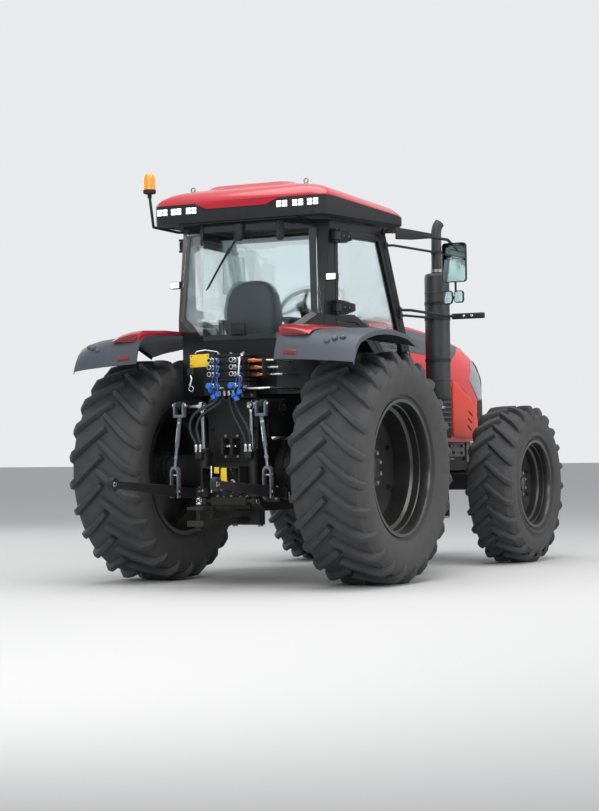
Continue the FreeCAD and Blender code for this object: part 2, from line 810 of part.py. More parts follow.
# Knuckles: a barrel between the yoke's ears with its kingpins, the drive housing and the steering arm
drive_end = s.front_track / 2 - s.front_hub_in - 5
knuckle_whole = joined("knuckle_whole", [
    bar("knuckle_barrel", "z", s.knuckle_radius, axle_z - s.knuckle_half, axle_z + s.knuckle_half,
        x=s.wheelbase, y=kingpin),
    bar("kingpins", "z", s.kingpin_radius, axle_z - yoke_half, axle_z + yoke_half, x=s.wheelbase, y=kingpin),
    bar("knuckle_neck", "y", 66, kingpin, kingpin + 60, x=s.wheelbase, z=axle_z),
    bar("drive_housing", "y", s.drive_housing_radius, kingpin + 56, drive_end, x=s.wheelbase, z=axle_z),
    plate("steer_arm", "XY", [
        (s.wheelbase - 30, kingpin - 28),
        (s.wheelbase - 30, kingpin + 30),
        (steer_x - 22, arm_y + 24, 16),
        (steer_x - 22, arm_y - 24, 16),
    ], steer_z - s.steer_rod_radius - 34, steer_z - s.steer_rod_radius - 8),
])
hub_bore = bar("hub_bore", "y", s.front_stub_radius + s.run_gap,
               s.front_track / 2 - s.front_hub_in - s.front_stub_long - 4, drive_end + 5, x=s.wheelbase, z=axle_z)
knuckle = cut("knuckle_bored", knuckle_whole, [hub_bore])
node("knuckle_left", knuckle)
node("knuckle_right", mirrored("knuckle_twin", knuckle))


def windscreen_x(up):
    """Where the windscreen's plane stands at a height: it runs from the cowl's lower corner to the A-pillar's top."""
    return s.a_pillar_top + (s.cowl_front - s.a_pillar_top) * (s.cab_top - up) / (s.cab_top - s.cowl_low)


# Plan of the cab: its sides close in towards the rear, and its rear wall is bowed
side_slope = (s.cab_half - s.cab_corner_half) / (s.cowl_front - s.cab_corner_top)
toe = math.degrees(math.atan(float(side_slope)))
toe_corner = Vector(float(s.cowl_front), float(s.cab_half), 0)


def side_y(along):
    """How far out the cab's side stands at a place along the tractor."""
    return s.cab_half - side_slope * (s.cowl_front - along)


def side_root(along, radius):
    """Where a rod of this radius ends in front of the cab's side."""
    return side_y(along) + s.seat_gap + side_slope * radius


def toed(name, *pieces):
    """Pieces of the cab's side, turned inwards about its front corner."""
    group = doc.addObject("Part::Compound", name)
    group.Links = list(pieces)
    group.Placement = Placement(Vector(0, 0, 0), Rotation(Vector(0, 0, 1), toe), toe_corner)
    return group


cab_plan = plate("cab_plan", "XY", [
    (s.cowl_front, 1 - s.cab_half), (s.cowl_front, s.cab_half - 1), (s.cab_corner_low, side_y(s.cab_corner_low) - 1),
    (s.cab_rear_low, s.cab_flat_half), (s.cab_rear_low, -1 * s.cab_flat_half),
    (s.cab_corner_low, 1 - side_y(s.cab_corner_low)),
], s.floor_low - 50, s.cab_top + 50)

# Cab frame: side frames with door openings, roof rails, rear frame round its window, tub and platform
pillar_in = s.cab_half - s.pillar_thick
door_corners = [
    (s.door_rear, 1992, 30),
    (300, 1992, 60),
    (520, 1905, 120),
    (720, 1735, 160),
    (870, 1530, 160),
    (955, 1340, 120),
    (1000, 1185, 40),
    (s.cowl_front - 75, 1185, 40),
    (s.cowl_front - 75, s.cowl_low + 10, 60),
    (s.a_pillar_top - 62, s.cab_top - 72, 40),
    (s.door_rear, s.cab_top - 72, 50),
]
door_sheet = plate("door_outline", "XZ", door_corners, s.cab_half - s.door_thick, s.cab_half)
opening_sheet = doc.addObject("Part::Offset2D", "opening_edge")
opening_sheet.Source = door_sheet.Group[0]
bind(opening_sheet, "Value", s.door_gap)
opening = doc.addObject("Part::Extrusion", "door_opening")
opening.Base = opening_sheet
opening.DirMode = "Custom"
opening.Dir = Vector(0, -1, 0)
opening.Solid = True
bind(opening, "LengthFwd", s.pillar_thick + 20)
bind(opening, "Placement.Base.y", 10)
side_plate = plate("side_plate", "XZ", [
    (s.cab_corner_low + 5, s.cab_rail_low),
    (230, s.cab_rail_low),
    (470, 1850),
    (665, 1690),
    (815, 1490),
    (905, 1320),
    (960, s.floor_low),
    (s.cowl_front, s.floor_low),
    (s.cowl_front, s.cowl_low),
    (s.a_pillar_top, s.cab_top, 30),
    (s.cab_corner_top + 5, s.cab_top),
    (s.cab_corner_low + 5, s.cab_waist),
], pillar_in, s.cab_half)
side_frame = cut("side_frame", side_plate, [opening])
tub_side = plate("tub_side", "XZ", [
    (-385, s.platform_high - 30),
    (-385, s.cab_rail_low + 20),
    (230, s.cab_rail_low + 20),
    (470, 1870),
    (665, 1710),
    (815, 1510),
    (905, 1340),
    (960, s.floor_low),
    (250, s.floor_low),
    (250, s.platform_high - 30),
], s.tub_half - s.tub_thick, s.tub_half)
arch_skin = plate("arch_skin", "XZ", [
    (-385, s.cab_rail_low),
    (230, s.cab_rail_low),
    (470, 1850),
    (665, 1690),
    (815, 1490),
    (905, 1320),
    (960, s.floor_low),
    (985, s.floor_low),
    (928, 1330),
    (836, 1503),
    (682, 1708),
    (480, 1872),
    (236, s.cab_rail_low + 22),
    (-385, s.cab_rail_low + 22),
], s.tub_half - 2, s.cab_half - 2)


def rear_wall(name, behind, thick):
    """A bowed wall: a flat middle and two wings to the corners, upright to the waist and leaning in above it."""
    sections = []
    for up, middle, corner in ((1440, s.cab_rear_low, s.cab_corner_low), (s.cab_waist, s.cab_rear_low, s.cab_corner_low),
                               (s.cab_top, s.cab_rear_top, s.cab_corner_top)):
        half = [(corner - behind, -1 * (side_y(corner) - 1)), (middle - behind, -1 * s.cab_flat_half)]
        back = half + [(x, -1 * y) for x, y in reversed(half)]
        sections.append([(x, y, up) for x, y in back] + [(x + thick, y, up) for x, y in reversed(back)])
    return lofted(name, sections)


rear_slab = rear_wall("rear_slab", 0, 45)
window_half = [(350, 1880, 20), (s.window_low_half, 2045, 30), (s.window_top_half, s.cab_top - 45, 30)]
rear_hole = plate("rear_hole", "YZ", both_sides(window_half), -500, 0)
rear_lower = plate("rear_lower_trim", "YZ", both_sides([
    (s.tub_half, 1400), (s.tub_half, s.cab_rail_low), (s.cab_half, s.cab_rail_low), (s.cab_half, s.cab_top),
]), -500, 0)
rear_frame = cut("rear_frame", overlap("rear_frame_whole", [rear_slab, rear_lower]), [rear_hole])
cross_pieces = [
    block("platform", (-385, 250), (-1 * s.tub_half, s.tub_half), (s.platform_high - 30, s.platform_high)),
    block("riser", (222, 250), (-1 * s.tub_half, s.tub_half), (s.floor_low, s.platform_high)),
    block("floor", (230, s.cowl_front), (-1 * s.tub_half, s.tub_half), (s.floor_low, s.floor_low + 30)),
    block("door_sill", (955, s.cowl_front), (-1 * s.cab_half, s.cab_half), (s.floor_low, s.floor_low + 30)),
    plate("firewall", "XZ", [
        (s.cowl_front - 28, s.floor_low),
        (s.cowl_front, s.floor_low),
        (s.cowl_front, s.cowl_low),
        (windscreen_x(s.cowl_high), s.cowl_high),
        (windscreen_x(s.cowl_high) - 30, s.cowl_high),
        (s.cowl_front - 28, s.cowl_low),
    ], -1 * s.cab_half, s.cab_half),
    plate("front_header", "XZ", [
        (s.a_pillar_top - 60, s.cab_top - 50),
        (windscreen_x(s.cab_top - 50), s.cab_top - 50),
        (s.a_pillar_top, s.cab_top),
        (s.a_pillar_top - 60, s.cab_top),
    ], -1 * s.cab_half, s.cab_half),
]

# Hinge ears and pins on the C-pillars, one pair for each door
hinge_out = s.cab_half + s.hinge_reach
hinge_line = s.door_rear - s.hinge_behind
hinge_heights = (s.cab_top - s.hinge_drop, s.cab_rail_low + s.hinge_rise)
hinge_ears = []
for i, height in enumerate(hinge_heights):
    for low, high in ((height + 36, height + 52), (height - 52, height - 36)):
        hinge_ears.append(block("hinge_ear_%d" % i, (hinge_line - 16, hinge_line + 16),
                                (s.cab_half - 1, hinge_out + 16), (low, high)))
    hinge_ears.append(bar("hinge_pin_%d" % i, "z", s.hinge_pin, height - 52, height + 52, x=hinge_line,
                          y=hinge_out))
cab_side = joined("cab_side", [
    toed("toed_side", joined("toed_side_whole", [side_frame] + hinge_ears)),
    overlap("inner_side", [joined("inner_side_whole", [tub_side, arch_skin]), cab_plan]),
])
cross_frame = overlap("cross_frame", [joined("cross_frame_whole", cross_pieces), cab_plan])
node("cab_frame", joined("cab_frame_whole", [
    cab_side, mirrored("cab_side_twin", cab_side), rear_frame, cross_frame,
]))

# Doors: a bordered leaf in its opening, hung on two arms that reach back over the C-pillar
def door_slab(name, value, low, high):
    """The door's outline drawn in or out by a value, between two places across the cab."""
    edge = doc.addObject("Part::Offset2D", name + "_edge")
    edge.Source = door_sheet.Group[0]
    bind(edge, "Value", value)
    slab = doc.addObject("Part::Extrusion", name)
    slab.Base = edge
    slab.DirMode = "Custom"
    slab.Dir = Vector(0, -1, 0)
    slab.Solid = True
    bind(slab, "LengthFwd", high - low)
    bind(slab, "Placement.Base.y", high - (s.cab_half))
    return slab


pane_mid = s.cab_half - s.door_thick / 2
door_hole = door_slab("door_hole", -1 * s.door_border, s.cab_half - s.door_thick - 5, s.cab_half + 5)
door_ring = cut("door_ring", door_sheet, [door_hole])
door_arms = []
for i, height in enumerate(hinge_heights):
    arm = plate("door_arm_%d" % i, "XY", [
        (hinge_line - 16, s.cab_half + 6),
        (s.door_rear + 5, s.cab_half + 6),
        (s.door_rear + 5, s.cab_half - 2),
        (s.door_rear + 55, s.cab_half - 2),
        (s.door_rear + 55, hinge_out + 4, 12),
        (hinge_line + 20, hinge_out + 16, 12),
        (hinge_line - 16, hinge_out + 16, 12),
    ], height - 30, height + 30)
    door_arms.append(cut("door_arm_bored_%d" % i, arm, [
        bar("door_arm_bore_%d" % i, "z", s.hinge_pin + s.run_gap, height - 35, height + 35, x=hinge_line,
            y=hinge_out)]))
handle = plate("door_handle", "XZ", [(1092, 1645), (1112, 1645), (1054, 1785), (1034, 1785)], s.cab_half - 2,
               s.cab_half + 34)
door_frame = joined("door_frame", [door_ring, handle] + door_arms)
door_pane = door_slab("door_pane", -1 * (s.door_border + s.seat_gap), pane_mid - s.glass_thick / 2,
                      pane_mid + s.glass_thick / 2)
door = toed("toed_door", door_frame)
door_glass = toed("toed_pane", door_pane)
node("door_left", door)
node("door_right", mirrored("door_twin", door))
node("door_glass_left", door_glass)
node("door_glass_right", mirrored("door_glass_twin", door_glass))

# Windscreen between the A-pillars, and the rear window on the outside of its frame
screen_top = s.cab_top - 50 - s.seat_gap
screen_low = s.cowl_high + s.seat_gap
screen_ends = [(x, side_y(x) - s.pillar_thick - s.seat_gap - 0.2) for x in (s.a_pillar_top - 200, s.cowl_front)]
screen_plan = plate("screen_plan", "XY", screen_ends + [(x, -1 * y) for x, y in reversed(screen_ends)],
                    s.cowl_low, s.cab_top)
windscreen = plate("windscreen_pane", "XZ", [
    (windscreen_x(screen_low) - 10 - s.glass_thick, screen_low),
    (windscreen_x(screen_low) - 10, screen_low),
    (windscreen_x(screen_top) - 10, screen_top),
    (windscreen_x(screen_top) - 10 - s.glass_thick, screen_top),
], s.seat_gap - pillar_in, pillar_in - s.seat_gap)
rear_pane_slab = rear_wall("rear_pane_slab", s.glass_thick + s.seat_gap, s.glass_thick)
rear_pane_edge = plate("rear_pane_edge", "YZ", both_sides([
    (365, 1858, 20), (s.window_low_half + 24, 2035, 30), (s.window_top_half + 24, s.cab_top - 22, 30)]), -500, 0)
node("cab_glass", overlap("windscreen_trimmed", [windscreen, screen_plan]),
     overlap("rear_pane", [rear_pane_slab, rear_pane_edge]))


# Roof: a dark band under a raised crown, hollow, with recesses for the rear work lamps
def roof_ring(rear, front, half, corner, up, droop):
    """An eight-cornered ring; its height falls evenly from its rear edge to its front edge."""
    places = [
        (rear, half - corner), (rear + corner, half), (front - corner, half), (front, half - corner),
        (front, corner - half), (front - corner, -half), (rear + corner, -half), (rear, corner - half),
    ]
    return [(x, y, up - droop * (x - rear) / (front - rear)) for x, y in places]


roof_low = s.cab_top + s.seat_gap
ROOF_RINGS = (
    # rear, front, half width, corner, height, droop at the front
    (-320, s.roof_front - 50, s.roof_half - 30, 90, roof_low, 0),
    (-1 * s.roof_rear, s.roof_front, s.roof_half, 110, roof_low + 40, 0),
    (-1 * s.roof_rear, s.roof_front - 15, s.roof_half, 110, s.roof_band_top, 12),
    (-325, s.roof_front - 90, s.roof_half - 75, 120, s.roof_shoulder, 60),
    (-235, s.roof_front - 390, 330, 60, s.roof_crown, 30),
)
roof_outer = lofted("roof_outer", [roof_ring(*[float(v) for v in ring]) for ring in ROOF_RINGS])
roof_inner = lofted("roof_inner", [
    roof_ring(float(rear) + float(s.roof_thick), float(front) - float(s.roof_thick), float(half) - float(s.roof_thick),
              float(corner) * 0.8, float(up) + float(s.roof_thick) * (1 if i == 0 else -0.9 if i > 2 else 0), float(droop))
    for i, (rear, front, half, corner, up, droop) in enumerate(ROOF_RINGS)])
LAMP_PLACES = (-660, -534, -398, 398, 534, 660)
recesses = [block("lamp_recess_%d" % i, (-380, -318), (side - 205, side + 205), (roof_low + 48, s.roof_band_top + 44))
            for i, side in enumerate((-530, 530))]
recess_floor = [block("recess_back_%d" % i, (-318, -290), (side - 225, side + 225), (roof_low + 30, s.roof_band_top + 64))
                for i, side in enumerate((-530, 530))]
roof_shell = cut("roof_shell", roof_outer, [roof_inner])
roof_whole = cut("roof_recessed", joined("roof_backed", [roof_shell] + recess_floor), recesses)
node("roof", roof_whole)
lamps = [block("work_lamp_%d" % i, (-352, -318 - s.seat_gap), (y - 46, y + 46), (roof_low + 70, roof_low + 124))
         for i, y in enumerate(LAMP_PLACES)]

# Hood: one shell from the cowl to the nose, open below, with the grille in its nose
HOOD_SECTIONS = (
    # along, low half width, low edge, shoulder half width, shoulder, top half width, top
    (s.hood_rear, s.hood_half - 10, s.hood_side_low + 280, s.hood_half - 10, 1800, 250, s.hood_rear_top),
    (s.hood_rear + 770, s.hood_half, s.hood_side_low + 80, s.hood_half - 5, 1790, 260, 2050),
    (s.wheelbase - 70, s.hood_half, s.hood_side_low, s.hood_half - 5, 1740, 270, 1985),
    (s.wheelbase + 450, s.hood_half - 5, s.hood_side_low, s.hood_half - 15, 1690, 275, 1900),
    (s.wheelbase + 670, s.hood_half - 25, s.hood_side_low + 70, s.hood_half - 40, 1640, 270, 1800),
    (hood_nose, s.hood_half - 50, s.hood_side_low + 250, s.hood_half - 60, 1560, 265, 1690),
)


def hood_band(along, low_half, low, shoulder_half, shoulder, top_half, top):
    """One cross-section of the shell: down one side, across the top and back inside its thickness."""
    thick = s.hood_thick
    outer = [(low_half, low), (shoulder_half, shoulder), (top_half, top)]
    inner = [(low_half - thick, low), (shoulder_half - thick, shoulder - 6), (top_half - 8, top - thick)]
    ring = outer + [(-1 * y, z) for y, z in reversed(outer)] + [(-1 * y, z) for y, z in inner] + inner[::-1]
    return [(along, y, z) for y, z in ring]


hood_shell = lofted("hood_shell", [hood_band(*section) for section in HOOD_SECTIONS])
cowl_whole = lofted("cowl_whole", [
    hood_band(windscreen_x(1960) + 62, s.hood_half - 12, 1350, s.hood_half - 12, 1780, 250, 1965),
    hood_band(s.hood_rear - 8, s.hood_half - 10, s.hood_side_low + 290, s.hood_half - 10, 1800, 250, s.hood_rear_top - 2),
])
cab_side_of_cowl = plate("cab_side_of_cowl", "XZ", [
    (1000, 1200), (s.cowl_front + s.seat_gap, 1200), (s.cowl_front + s.seat_gap, s.cowl_low),
    (windscreen_x(2200) + s.seat_gap, 2200), (1000, 2200),
], -600, 600)
cowl_shell = cut("cowl_shell", cowl_whole, [cab_side_of_cowl])
hood_hinge_x = s.hood_rear + 2
hood_hinge_z = s.hood_rear_top + s.hood_hinge_lift
cowl_hinges = []
hood_hinges = []
for i, side in enumerate((-1, 1)):
    middle = side * s.hood_hinge_out
    for j, (low, high) in enumerate(((-52, -34), (34, 52))):
        cowl_hinges.append(bar("cowl_hinge_%d_%d" % (i, j), "y", s.hood_hinge_lift - 4, middle + low, middle + high,
                               x=hood_hinge_x, z=hood_hinge_z))
        cowl_hinges.append(block("cowl_hinge_foot_%d_%d" % (i, j), (hood_hinge_x - 46, hood_hinge_x - 10),
                                 (middle + low, middle + high), (s.hood_rear_top - 24, hood_hinge_z)))
    cowl_hinges.append(bar("hood_hinge_pin_%d" % i, "y", s.hood_hinge_pin, middle - 52, middle + 52, x=hood_hinge_x,
                           z=hood_hinge_z))
    lug = joined("hood_lug_%d" % i, [
        bar("hood_lug_barrel_%d" % i, "y", s.hood_hinge_lift - 4, middle - 30, middle + 30, x=hood_hinge_x,
            z=hood_hinge_z),
        block("hood_lug_foot_%d" % i, (hood_hinge_x, hood_hinge_x + 34), (middle - 30, middle + 30),
              (s.hood_rear_top - 12, hood_hinge_z)),
    ])
    hood_hinges.append(lug)
hood_bores = [bar("hood_hinge_bore", "y", s.hood_hinge_pin + s.run_gap, -1 * s.hood_hinge_out - 60, s.hood_hinge_out + 60,
                  x=hood_hinge_x, z=hood_hinge_z)]
node("hood", cut("hood_bored", joined("hood_whole", [hood_shell] + hood_hinges), hood_bores))
node("cowl", joined("cowl_with_hinges", [cowl_shell] + cowl_hinges))
face = HOOD_SECTIONS[4]
inset = s.hood_thick + s.seat_gap
grille_edge = both_sides([
    (face[1] - inset, face[2] + 15), (face[3] - inset - 1, face[4] - 8), (face[5] - 8 - s.seat_gap, face[6] - inset)])
grille_plate = plate("grille_plate", "YZ", grille_edge, face[0] - 24, face[0])
slots = [block("grille_slot_%d" % i, (face[0] - 30, face[0] + 10), (110 - s.hood_half, s.hood_half - 110),
               (s.hood_side_low + 120 + i * 62, s.hood_side_low + 155 + i * 62))
         for i in range(7)]
node("grille", cut("grille_cut", grille_plate, slots))


# Rear fenders: a curved wing over each tyre, drawn through three sections from the cab outwards
FENDER_SECTIONS = (
    # across, then the (along, up) corners from the rear lower edge over the top to the front lower edge
    (s.tub_half + s.seat_gap, ((-862, 1680), (-800, 1850), (-640, 1902), (-200, 1922), (120, 1915), (215, 1900))),
    (900, ((-850, 1665), (-785, 1835), (-600, 1896), (-200, 1920), (150, 1905), (300, 1840))),
    (s.fender_out, ((-800, 1640), (-735, 1770), (-560, 1862), (-250, 1902), (120, 1880), (330, 1790))),
)


def inward(corners, thick):
    """The same line of corners, moved inwards square to the line by a thickness."""
    moved = []
    for i, (x, z) in enumerate(corners):
        x0, z0 = corners[max(i - 1, 0)]
        x1, z1 = corners[min(i + 1, len(corners) - 1)]
        length = math.hypot(x1 - x0, z1 - z0)
        moved.append((x + thick * (z1 - z0) / length, z - thick * (x1 - x0) / length))
    return moved


def fender_section(across, corners):
    thick = float(s.fender_thick)
    return [(x, float(across), z) for x, z in list(corners) + inward(corners, thick)[::-1]]


fender = lofted("fender_wing", [fender_section(*section) for section in FENDER_SECTIONS])
node("fenders", fender, mirrored("fender_twin", fender))


def on_fender_rear(across, share, out):
    """A point on the fender's rear face: a share of the way up it, and proud of it."""
    (y0, low), (y1, high) = [(float(y), corners) for y, corners in FENDER_SECTIONS[:2]]
    part = (across - y0) / (y1 - y0)
    (xa, za), (xb, zb) = [[low[i][k] + part * (high[i][k] - low[i][k]) for k in (0, 1)] for i in (0, 1)]
    length = math.hypot(xb - xa, zb - za)
    return (xa + share * (xb - xa) - out * (zb - za) / length, across, za + share * (zb - za) + out * (xb - xa) / length)


def tail_lamp(name, inner, outer, low, high):
    gap = float(s.seat_gap)
    return lofted(name, [
        [on_fender_rear(y, low, gap), on_fender_rear(y, high, gap), on_fender_rear(y, high, 24), on_fender_rear(y, low, 24)]
        for y in (inner, outer)])


lens = [tail_lamp("tail_lamp", 640, 880, 0.60, 0.92), tail_lamp("reflector", 650, 700, 0.18, 0.34)]
lamps += lens + [mirrored("tail_twin_%d" % i, piece) for i, piece in enumerate(lens)]

# Exhaust: an elbow from the engine, the muffler and the upper pipe with its turned-out tip, on two brackets
out = -1 * s.stack_out
muffler = turned("muffler", "z", [
    (0, s.muffler_low), (56, s.muffler_low), (s.muffler_radius, s.muffler_low + 28),
    (s.muffler_radius, s.muffler_top - 24), (58, s.muffler_top), (0, s.muffler_top),
], s.stack_place, out)
feed = pipe("exhaust_feed", [
    (s.stack_place, out, s.muffler_low + 10), (s.stack_place, out, 1180), (s.stack_place, -1 * s.engine_half - 0.3, 1180),
], 40, 85)
upper = pipe("exhaust_upper", [
    (s.stack_place, out, s.muffler_top - 10), (s.stack_place, out, s.stack_tip - 105),
    (s.stack_place + 70, out - 60, s.stack_tip - 20),
], s.stack_radius, 80)
brackets = [
    pipe("stack_bracket_%d" % i, [
        (windscreen_x(height) - 24, -1 * side_root(windscreen_x(height) - 24, s.stack_bracket_radius), height),
        (windscreen_x(height) - 24, out - 8, height),
        (s.stack_place, out - 8, height),
    ], s.stack_bracket_radius, 26)
    for i, height in enumerate((2075, 2622))
]
node("exhaust", joined("exhaust_whole", [muffler, feed, upper] + brackets))


# Mirrors: the main and the small mirror on the upper arm, the marker lamp on the lower arm
def mirror_head(name, across, up):
    return plate(name, "YZ", [
        (across[0], up[0], 26), (across[1], up[0], 26), (across[1], up[1], 26), (across[0], up[1], 26),
    ], s.mirror_ahead, s.mirror_ahead + s.mirror_thick)


mirror_in = s.cab_half + s.mirror_reach
mirror_mid = mirror_in + s.mirror_wide / 2
mirror_top = s.mirror_low + s.mirror_high
arm_ahead = s.mirror_ahead + s.mirror_thick / 2
small_top = s.mirror_low - 65
arm_root = (s.a_pillar_top - 4, side_root(s.a_pillar_top - 4, s.arm_radius), s.cab_top - 34)
mirror_set = joined("mirror_set", [
    pipe("mirror_arm", [
        arm_root, (arm_root[0], s.cab_half + 80, arm_root[2]), (arm_ahead, mirror_in + 45, arm_root[2]),
        (arm_ahead, mirror_mid, mirror_top - 32),
    ], s.arm_radius, 34),
    mirror_head("mirror_main", (mirror_in, mirror_in + s.mirror_wide), (s.mirror_low, mirror_top)),
    pipe("mirror_drop", [(arm_ahead, mirror_mid, s.mirror_low + 10), (arm_ahead, mirror_mid, small_top - 95)],
         s.arm_radius - 3, 1),
    mirror_head("mirror_small", (mirror_in, mirror_in + 90), (small_top - 110, small_top)),
    bar("turn_lamp", "x", 42, s.mirror_ahead + 2, s.mirror_ahead + 54, y=mirror_in + 142, z=small_top - 53),
    block("mirror_bridge", (arm_ahead - 9, arm_ahead + 9), (mirror_in + 80, mirror_mid + 9),
          (small_top - 70, small_top - 45)),
])
marker_in = s.cab_half + s.marker_reach - 280
marker_root = windscreen_x(s.marker_high) - 24
marker = joined("marker_set", [
    pipe("marker_arm", [
        (marker_root, side_root(marker_root, s.arm_radius), s.marker_high + 47),
        (marker_root, s.cab_half + 90, s.marker_high + 47),
        (s.mirror_ahead + 15, marker_in - 50, s.marker_high),
        (s.mirror_ahead + 15, marker_in + 90, s.marker_high),
    ], s.arm_radius - 1, 34),
    block("marker_box", (s.mirror_ahead - 8, s.mirror_ahead + 38), (marker_in, s.cab_half + s.marker_reach),
          (s.marker_high - 25, s.marker_high + 25)),
])
node("mirrors", mirror_set, marker, mirrored("mirror_twin", mirror_set), mirrored("marker_twin", marker))

# Beacon on its own pipe beside the roof
beacon_place = s.cab_rear_top + 28
beacon_root = s.cab_corner_top + 45
beacon_out = s.cab_half + s.beacon_out
beacon_foot = s.cab_top - 18
beacon_pole = pipe("beacon_pole", [
    (beacon_root, side_root(beacon_root, s.arm_radius), beacon_foot), (beacon_root, side_y(beacon_root) + 75, beacon_foot),
    (beacon_place, beacon_out, beacon_foot),
    (beacon_place, beacon_out, s.beacon_low + 2),
], s.arm_radius, 44)
beacon_top = s.beacon_low + s.beacon_tall
beacon_lamp = turned("beacon_lamp", "z", [
    (0, s.beacon_low), (46, s.beacon_low), (46, s.beacon_low + 22), (52, s.beacon_low + 26), (50, beacon_top - 40, 8),
    (34, beacon_top - 4, 14), (0, beacon_top),
], beacon_place, beacon_out)
node("lamps", joined("beacon_whole", [beacon_pole, beacon_lamp]), *lamps)

# Seat, side console, dash and steering wheel
seat_base = block("seat_base_box", (-130, 250), (-170, 170), (s.platform_high + s.seat_gap, 1760))
seat_cushion = plate("seat_cushion_pad", "XZ", [
    (-150, 1760 + s.seat_gap), (330, 1760 + s.seat_gap), (345, 1850, 30), (-60, 1850)], -250, 250)
seat_back = plate("seat_back_pad", "XZ", [
    (-160, 1760 + s.seat_gap), (-150.5, 1760 + s.seat_gap), (-60.5, 1850), (-40, 1900), (-80, 2320, 30), (-170, 2320, 30),
    (-200, 1900)], -235, 235)
node("seat", seat_cushion, seat_back)
side_console = plate("side_console_box", "XZ", [
    (-150, s.platform_high + s.seat_gap), (180, s.platform_high + s.seat_gap), (220, 1820, 40), (160, 1890, 40),
    (-150, 1860, 40)], 50 - s.tub_half, -330)
dash = plate("dash_box", "XZ", [
    (900, s.floor_low + 30 + s.seat_gap), (s.cowl_front - 28 - s.seat_gap, s.floor_low + 30 + s.seat_gap),
    (s.cowl_front - 28 - s.seat_gap, s.cowl_low), (windscreen_x(1860) - 42, 1860), (1000, 1935, 30), (880, 1900, 40),
    (930, 1600)], -170, 170)
column_foot = Vector(980, 0, 1880)
wheel_hub = Vector(690, 0, 2150)
along = (wheel_hub - column_foot).normalize()
column = made("column", Part.makeCylinder(34, (wheel_hub - column_foot).Length - 30, column_foot, along))
socket = made("column_socket", Part.makeCylinder(12 + float(s.run_gap), 60, wheel_hub - along * 70, along))
node("cab_fittings", seat_base, side_console, cut("dash_whole", joined("dash_joined", [dash, column]), [socket]))
hoop = made("wheel_hoop", Part.makeTorus(185, 15, wheel_hub + along * 20, along))
boss = made("wheel_boss", Part.makeCylinder(44, 36, wheel_hub - along * 10, along))
spindle = made("wheel_spindle", Part.makeCylinder(12, 70, wheel_hub - along * 68, along))
spokes = []
for i in range(3):
    spoke = Part.makeBox(186, 28, 12, Vector(0, -14, -6))
    spoke.Placement = Placement(wheel_hub + along * 12, Rotation(Vector(0, 0, 1), along)).multiply(
        Placement(Vector(0, 0, 0), Rotation(Vector(0, 0, 1), 120 * i + 90)))
    spokes.append(made("wheel_spoke_%d" % i, spoke))
node("steering_wheel", joined("steering_wheel_whole", [hoop, boss, spindle] + spokes))

# Fuel tank on the left, battery box on the right, and a ladder of steps on both
tank = plate("tank_body", "YZ", [
    (s.tank_in, s.tank_low + 20, 60), (s.tank_out - 10, s.tank_low - 20, 80), (s.tank_out + 10, s.tank_top - 10, 60),
    (s.tank_in, s.tank_top + 10, 40),
], s.tank_rear, tank_front)
hangers = [
    block("tank_hanger_%d" % i, (low, low + 70), (rail_outer + s.seat_gap, s.tank_in + 70),
          (s.rail_low + 20, s.rail_top - 20))
    for i, low in enumerate((tank_front - 500, tank_front - 160))
]
ladder_rear = s.tank_rear + 8
ladder = [
    block("step_side_%d" % i, (x, x + 12), (s.tank_out - 10, s.step_out), (s.step_low - 6, s.tank_top + 10))
    for i, x in enumerate((ladder_rear, ladder_rear + s.step_wide))
]
step_rise = (s.tank_top - 90 - s.step_low) / 2
treads = [
    block("step_tread_%d" % i, (ladder_rear + 2, ladder_rear + s.step_wide + 8), (s.tank_out + 12, s.step_out),
          (s.step_low + i * step_rise, s.step_low + i * step_rise + 16))
    for i in range(3)
]
tank_set = joined("tank_set", [tank] + hangers + ladder + treads)
node("tanks_and_steps", tank_set, mirrored("tank_twin", tank_set))

# Lift arms on their shaft, with the pins that carry the lift rods and the cylinders
tip_x = s.shaft_place - s.arm_reach
tip_z = s.shaft_high + s.arm_rise
cyl_x = s.shaft_place - s.cyl_arm_reach
cyl_z = s.shaft_high + s.arm_rise * s.cyl_arm_reach / s.arm_reach
arm_half = 18
lift_pieces = [bar("lift_shaft", "y", s.shaft_radius, -1 * s.arm_out, s.arm_out, x=s.shaft_place, z=s.shaft_high)]
for i, side in enumerate((-1, 1)):
    low = side * s.arm_out - arm_half
    high = side * s.arm_out + arm_half
    lift_pieces += [
        plate("lift_arm_%d" % i, "XZ", [
            (s.shaft_place + 74, s.shaft_high - 60, 50), (s.shaft_place + 74, s.shaft_high + 66, 50),
            (tip_x + 40, tip_z + 34, 20), (tip_x - 32, tip_z + 30, 26), (tip_x - 32, tip_z - 32, 26),
            (cyl_x, cyl_z - 46, 40)], low, high),
        bar("lift_tip_pin_%d" % i, "y", s.lift_pin, side * s.arm_out - 62, side * s.arm_out + 62, x=tip_x, z=tip_z),
        bar("lift_cyl_pin_%d" % i, "y", s.lift_pin, side * (s.arm_out + s.cyl_out) / 2 - (s.arm_out - s.cyl_out) / 2 - 24,
            side * (s.arm_out + s.cyl_out) / 2 + (s.arm_out - s.cyl_out) / 2 + 24, x=cyl_x, z=cyl_z),
    ]
node("lift_arms", joined("lift_arms_whole", lift_pieces))

# Lower links: a forged bar from the ball at the gearbox to the ball at its end, with a cross pin for the lift rod
end_x = s.link_eye_radius - s.rear_reach
link_run = s.link_place - end_x
foot_out = s.link_out + (s.link_end_out - s.link_out) * s.arm_reach / link_run
foot_z = s.link_high + s.arm_rise


def link_section(x, y, z, half_thick, half_high):
    x, y, z = float(x), float(y), float(z)
    return [(x, y - half_thick, z - half_high), (x, y + half_thick, z - half_high), (x, y + half_thick, z + half_high),
            (x, y - half_thick, z + half_high)]


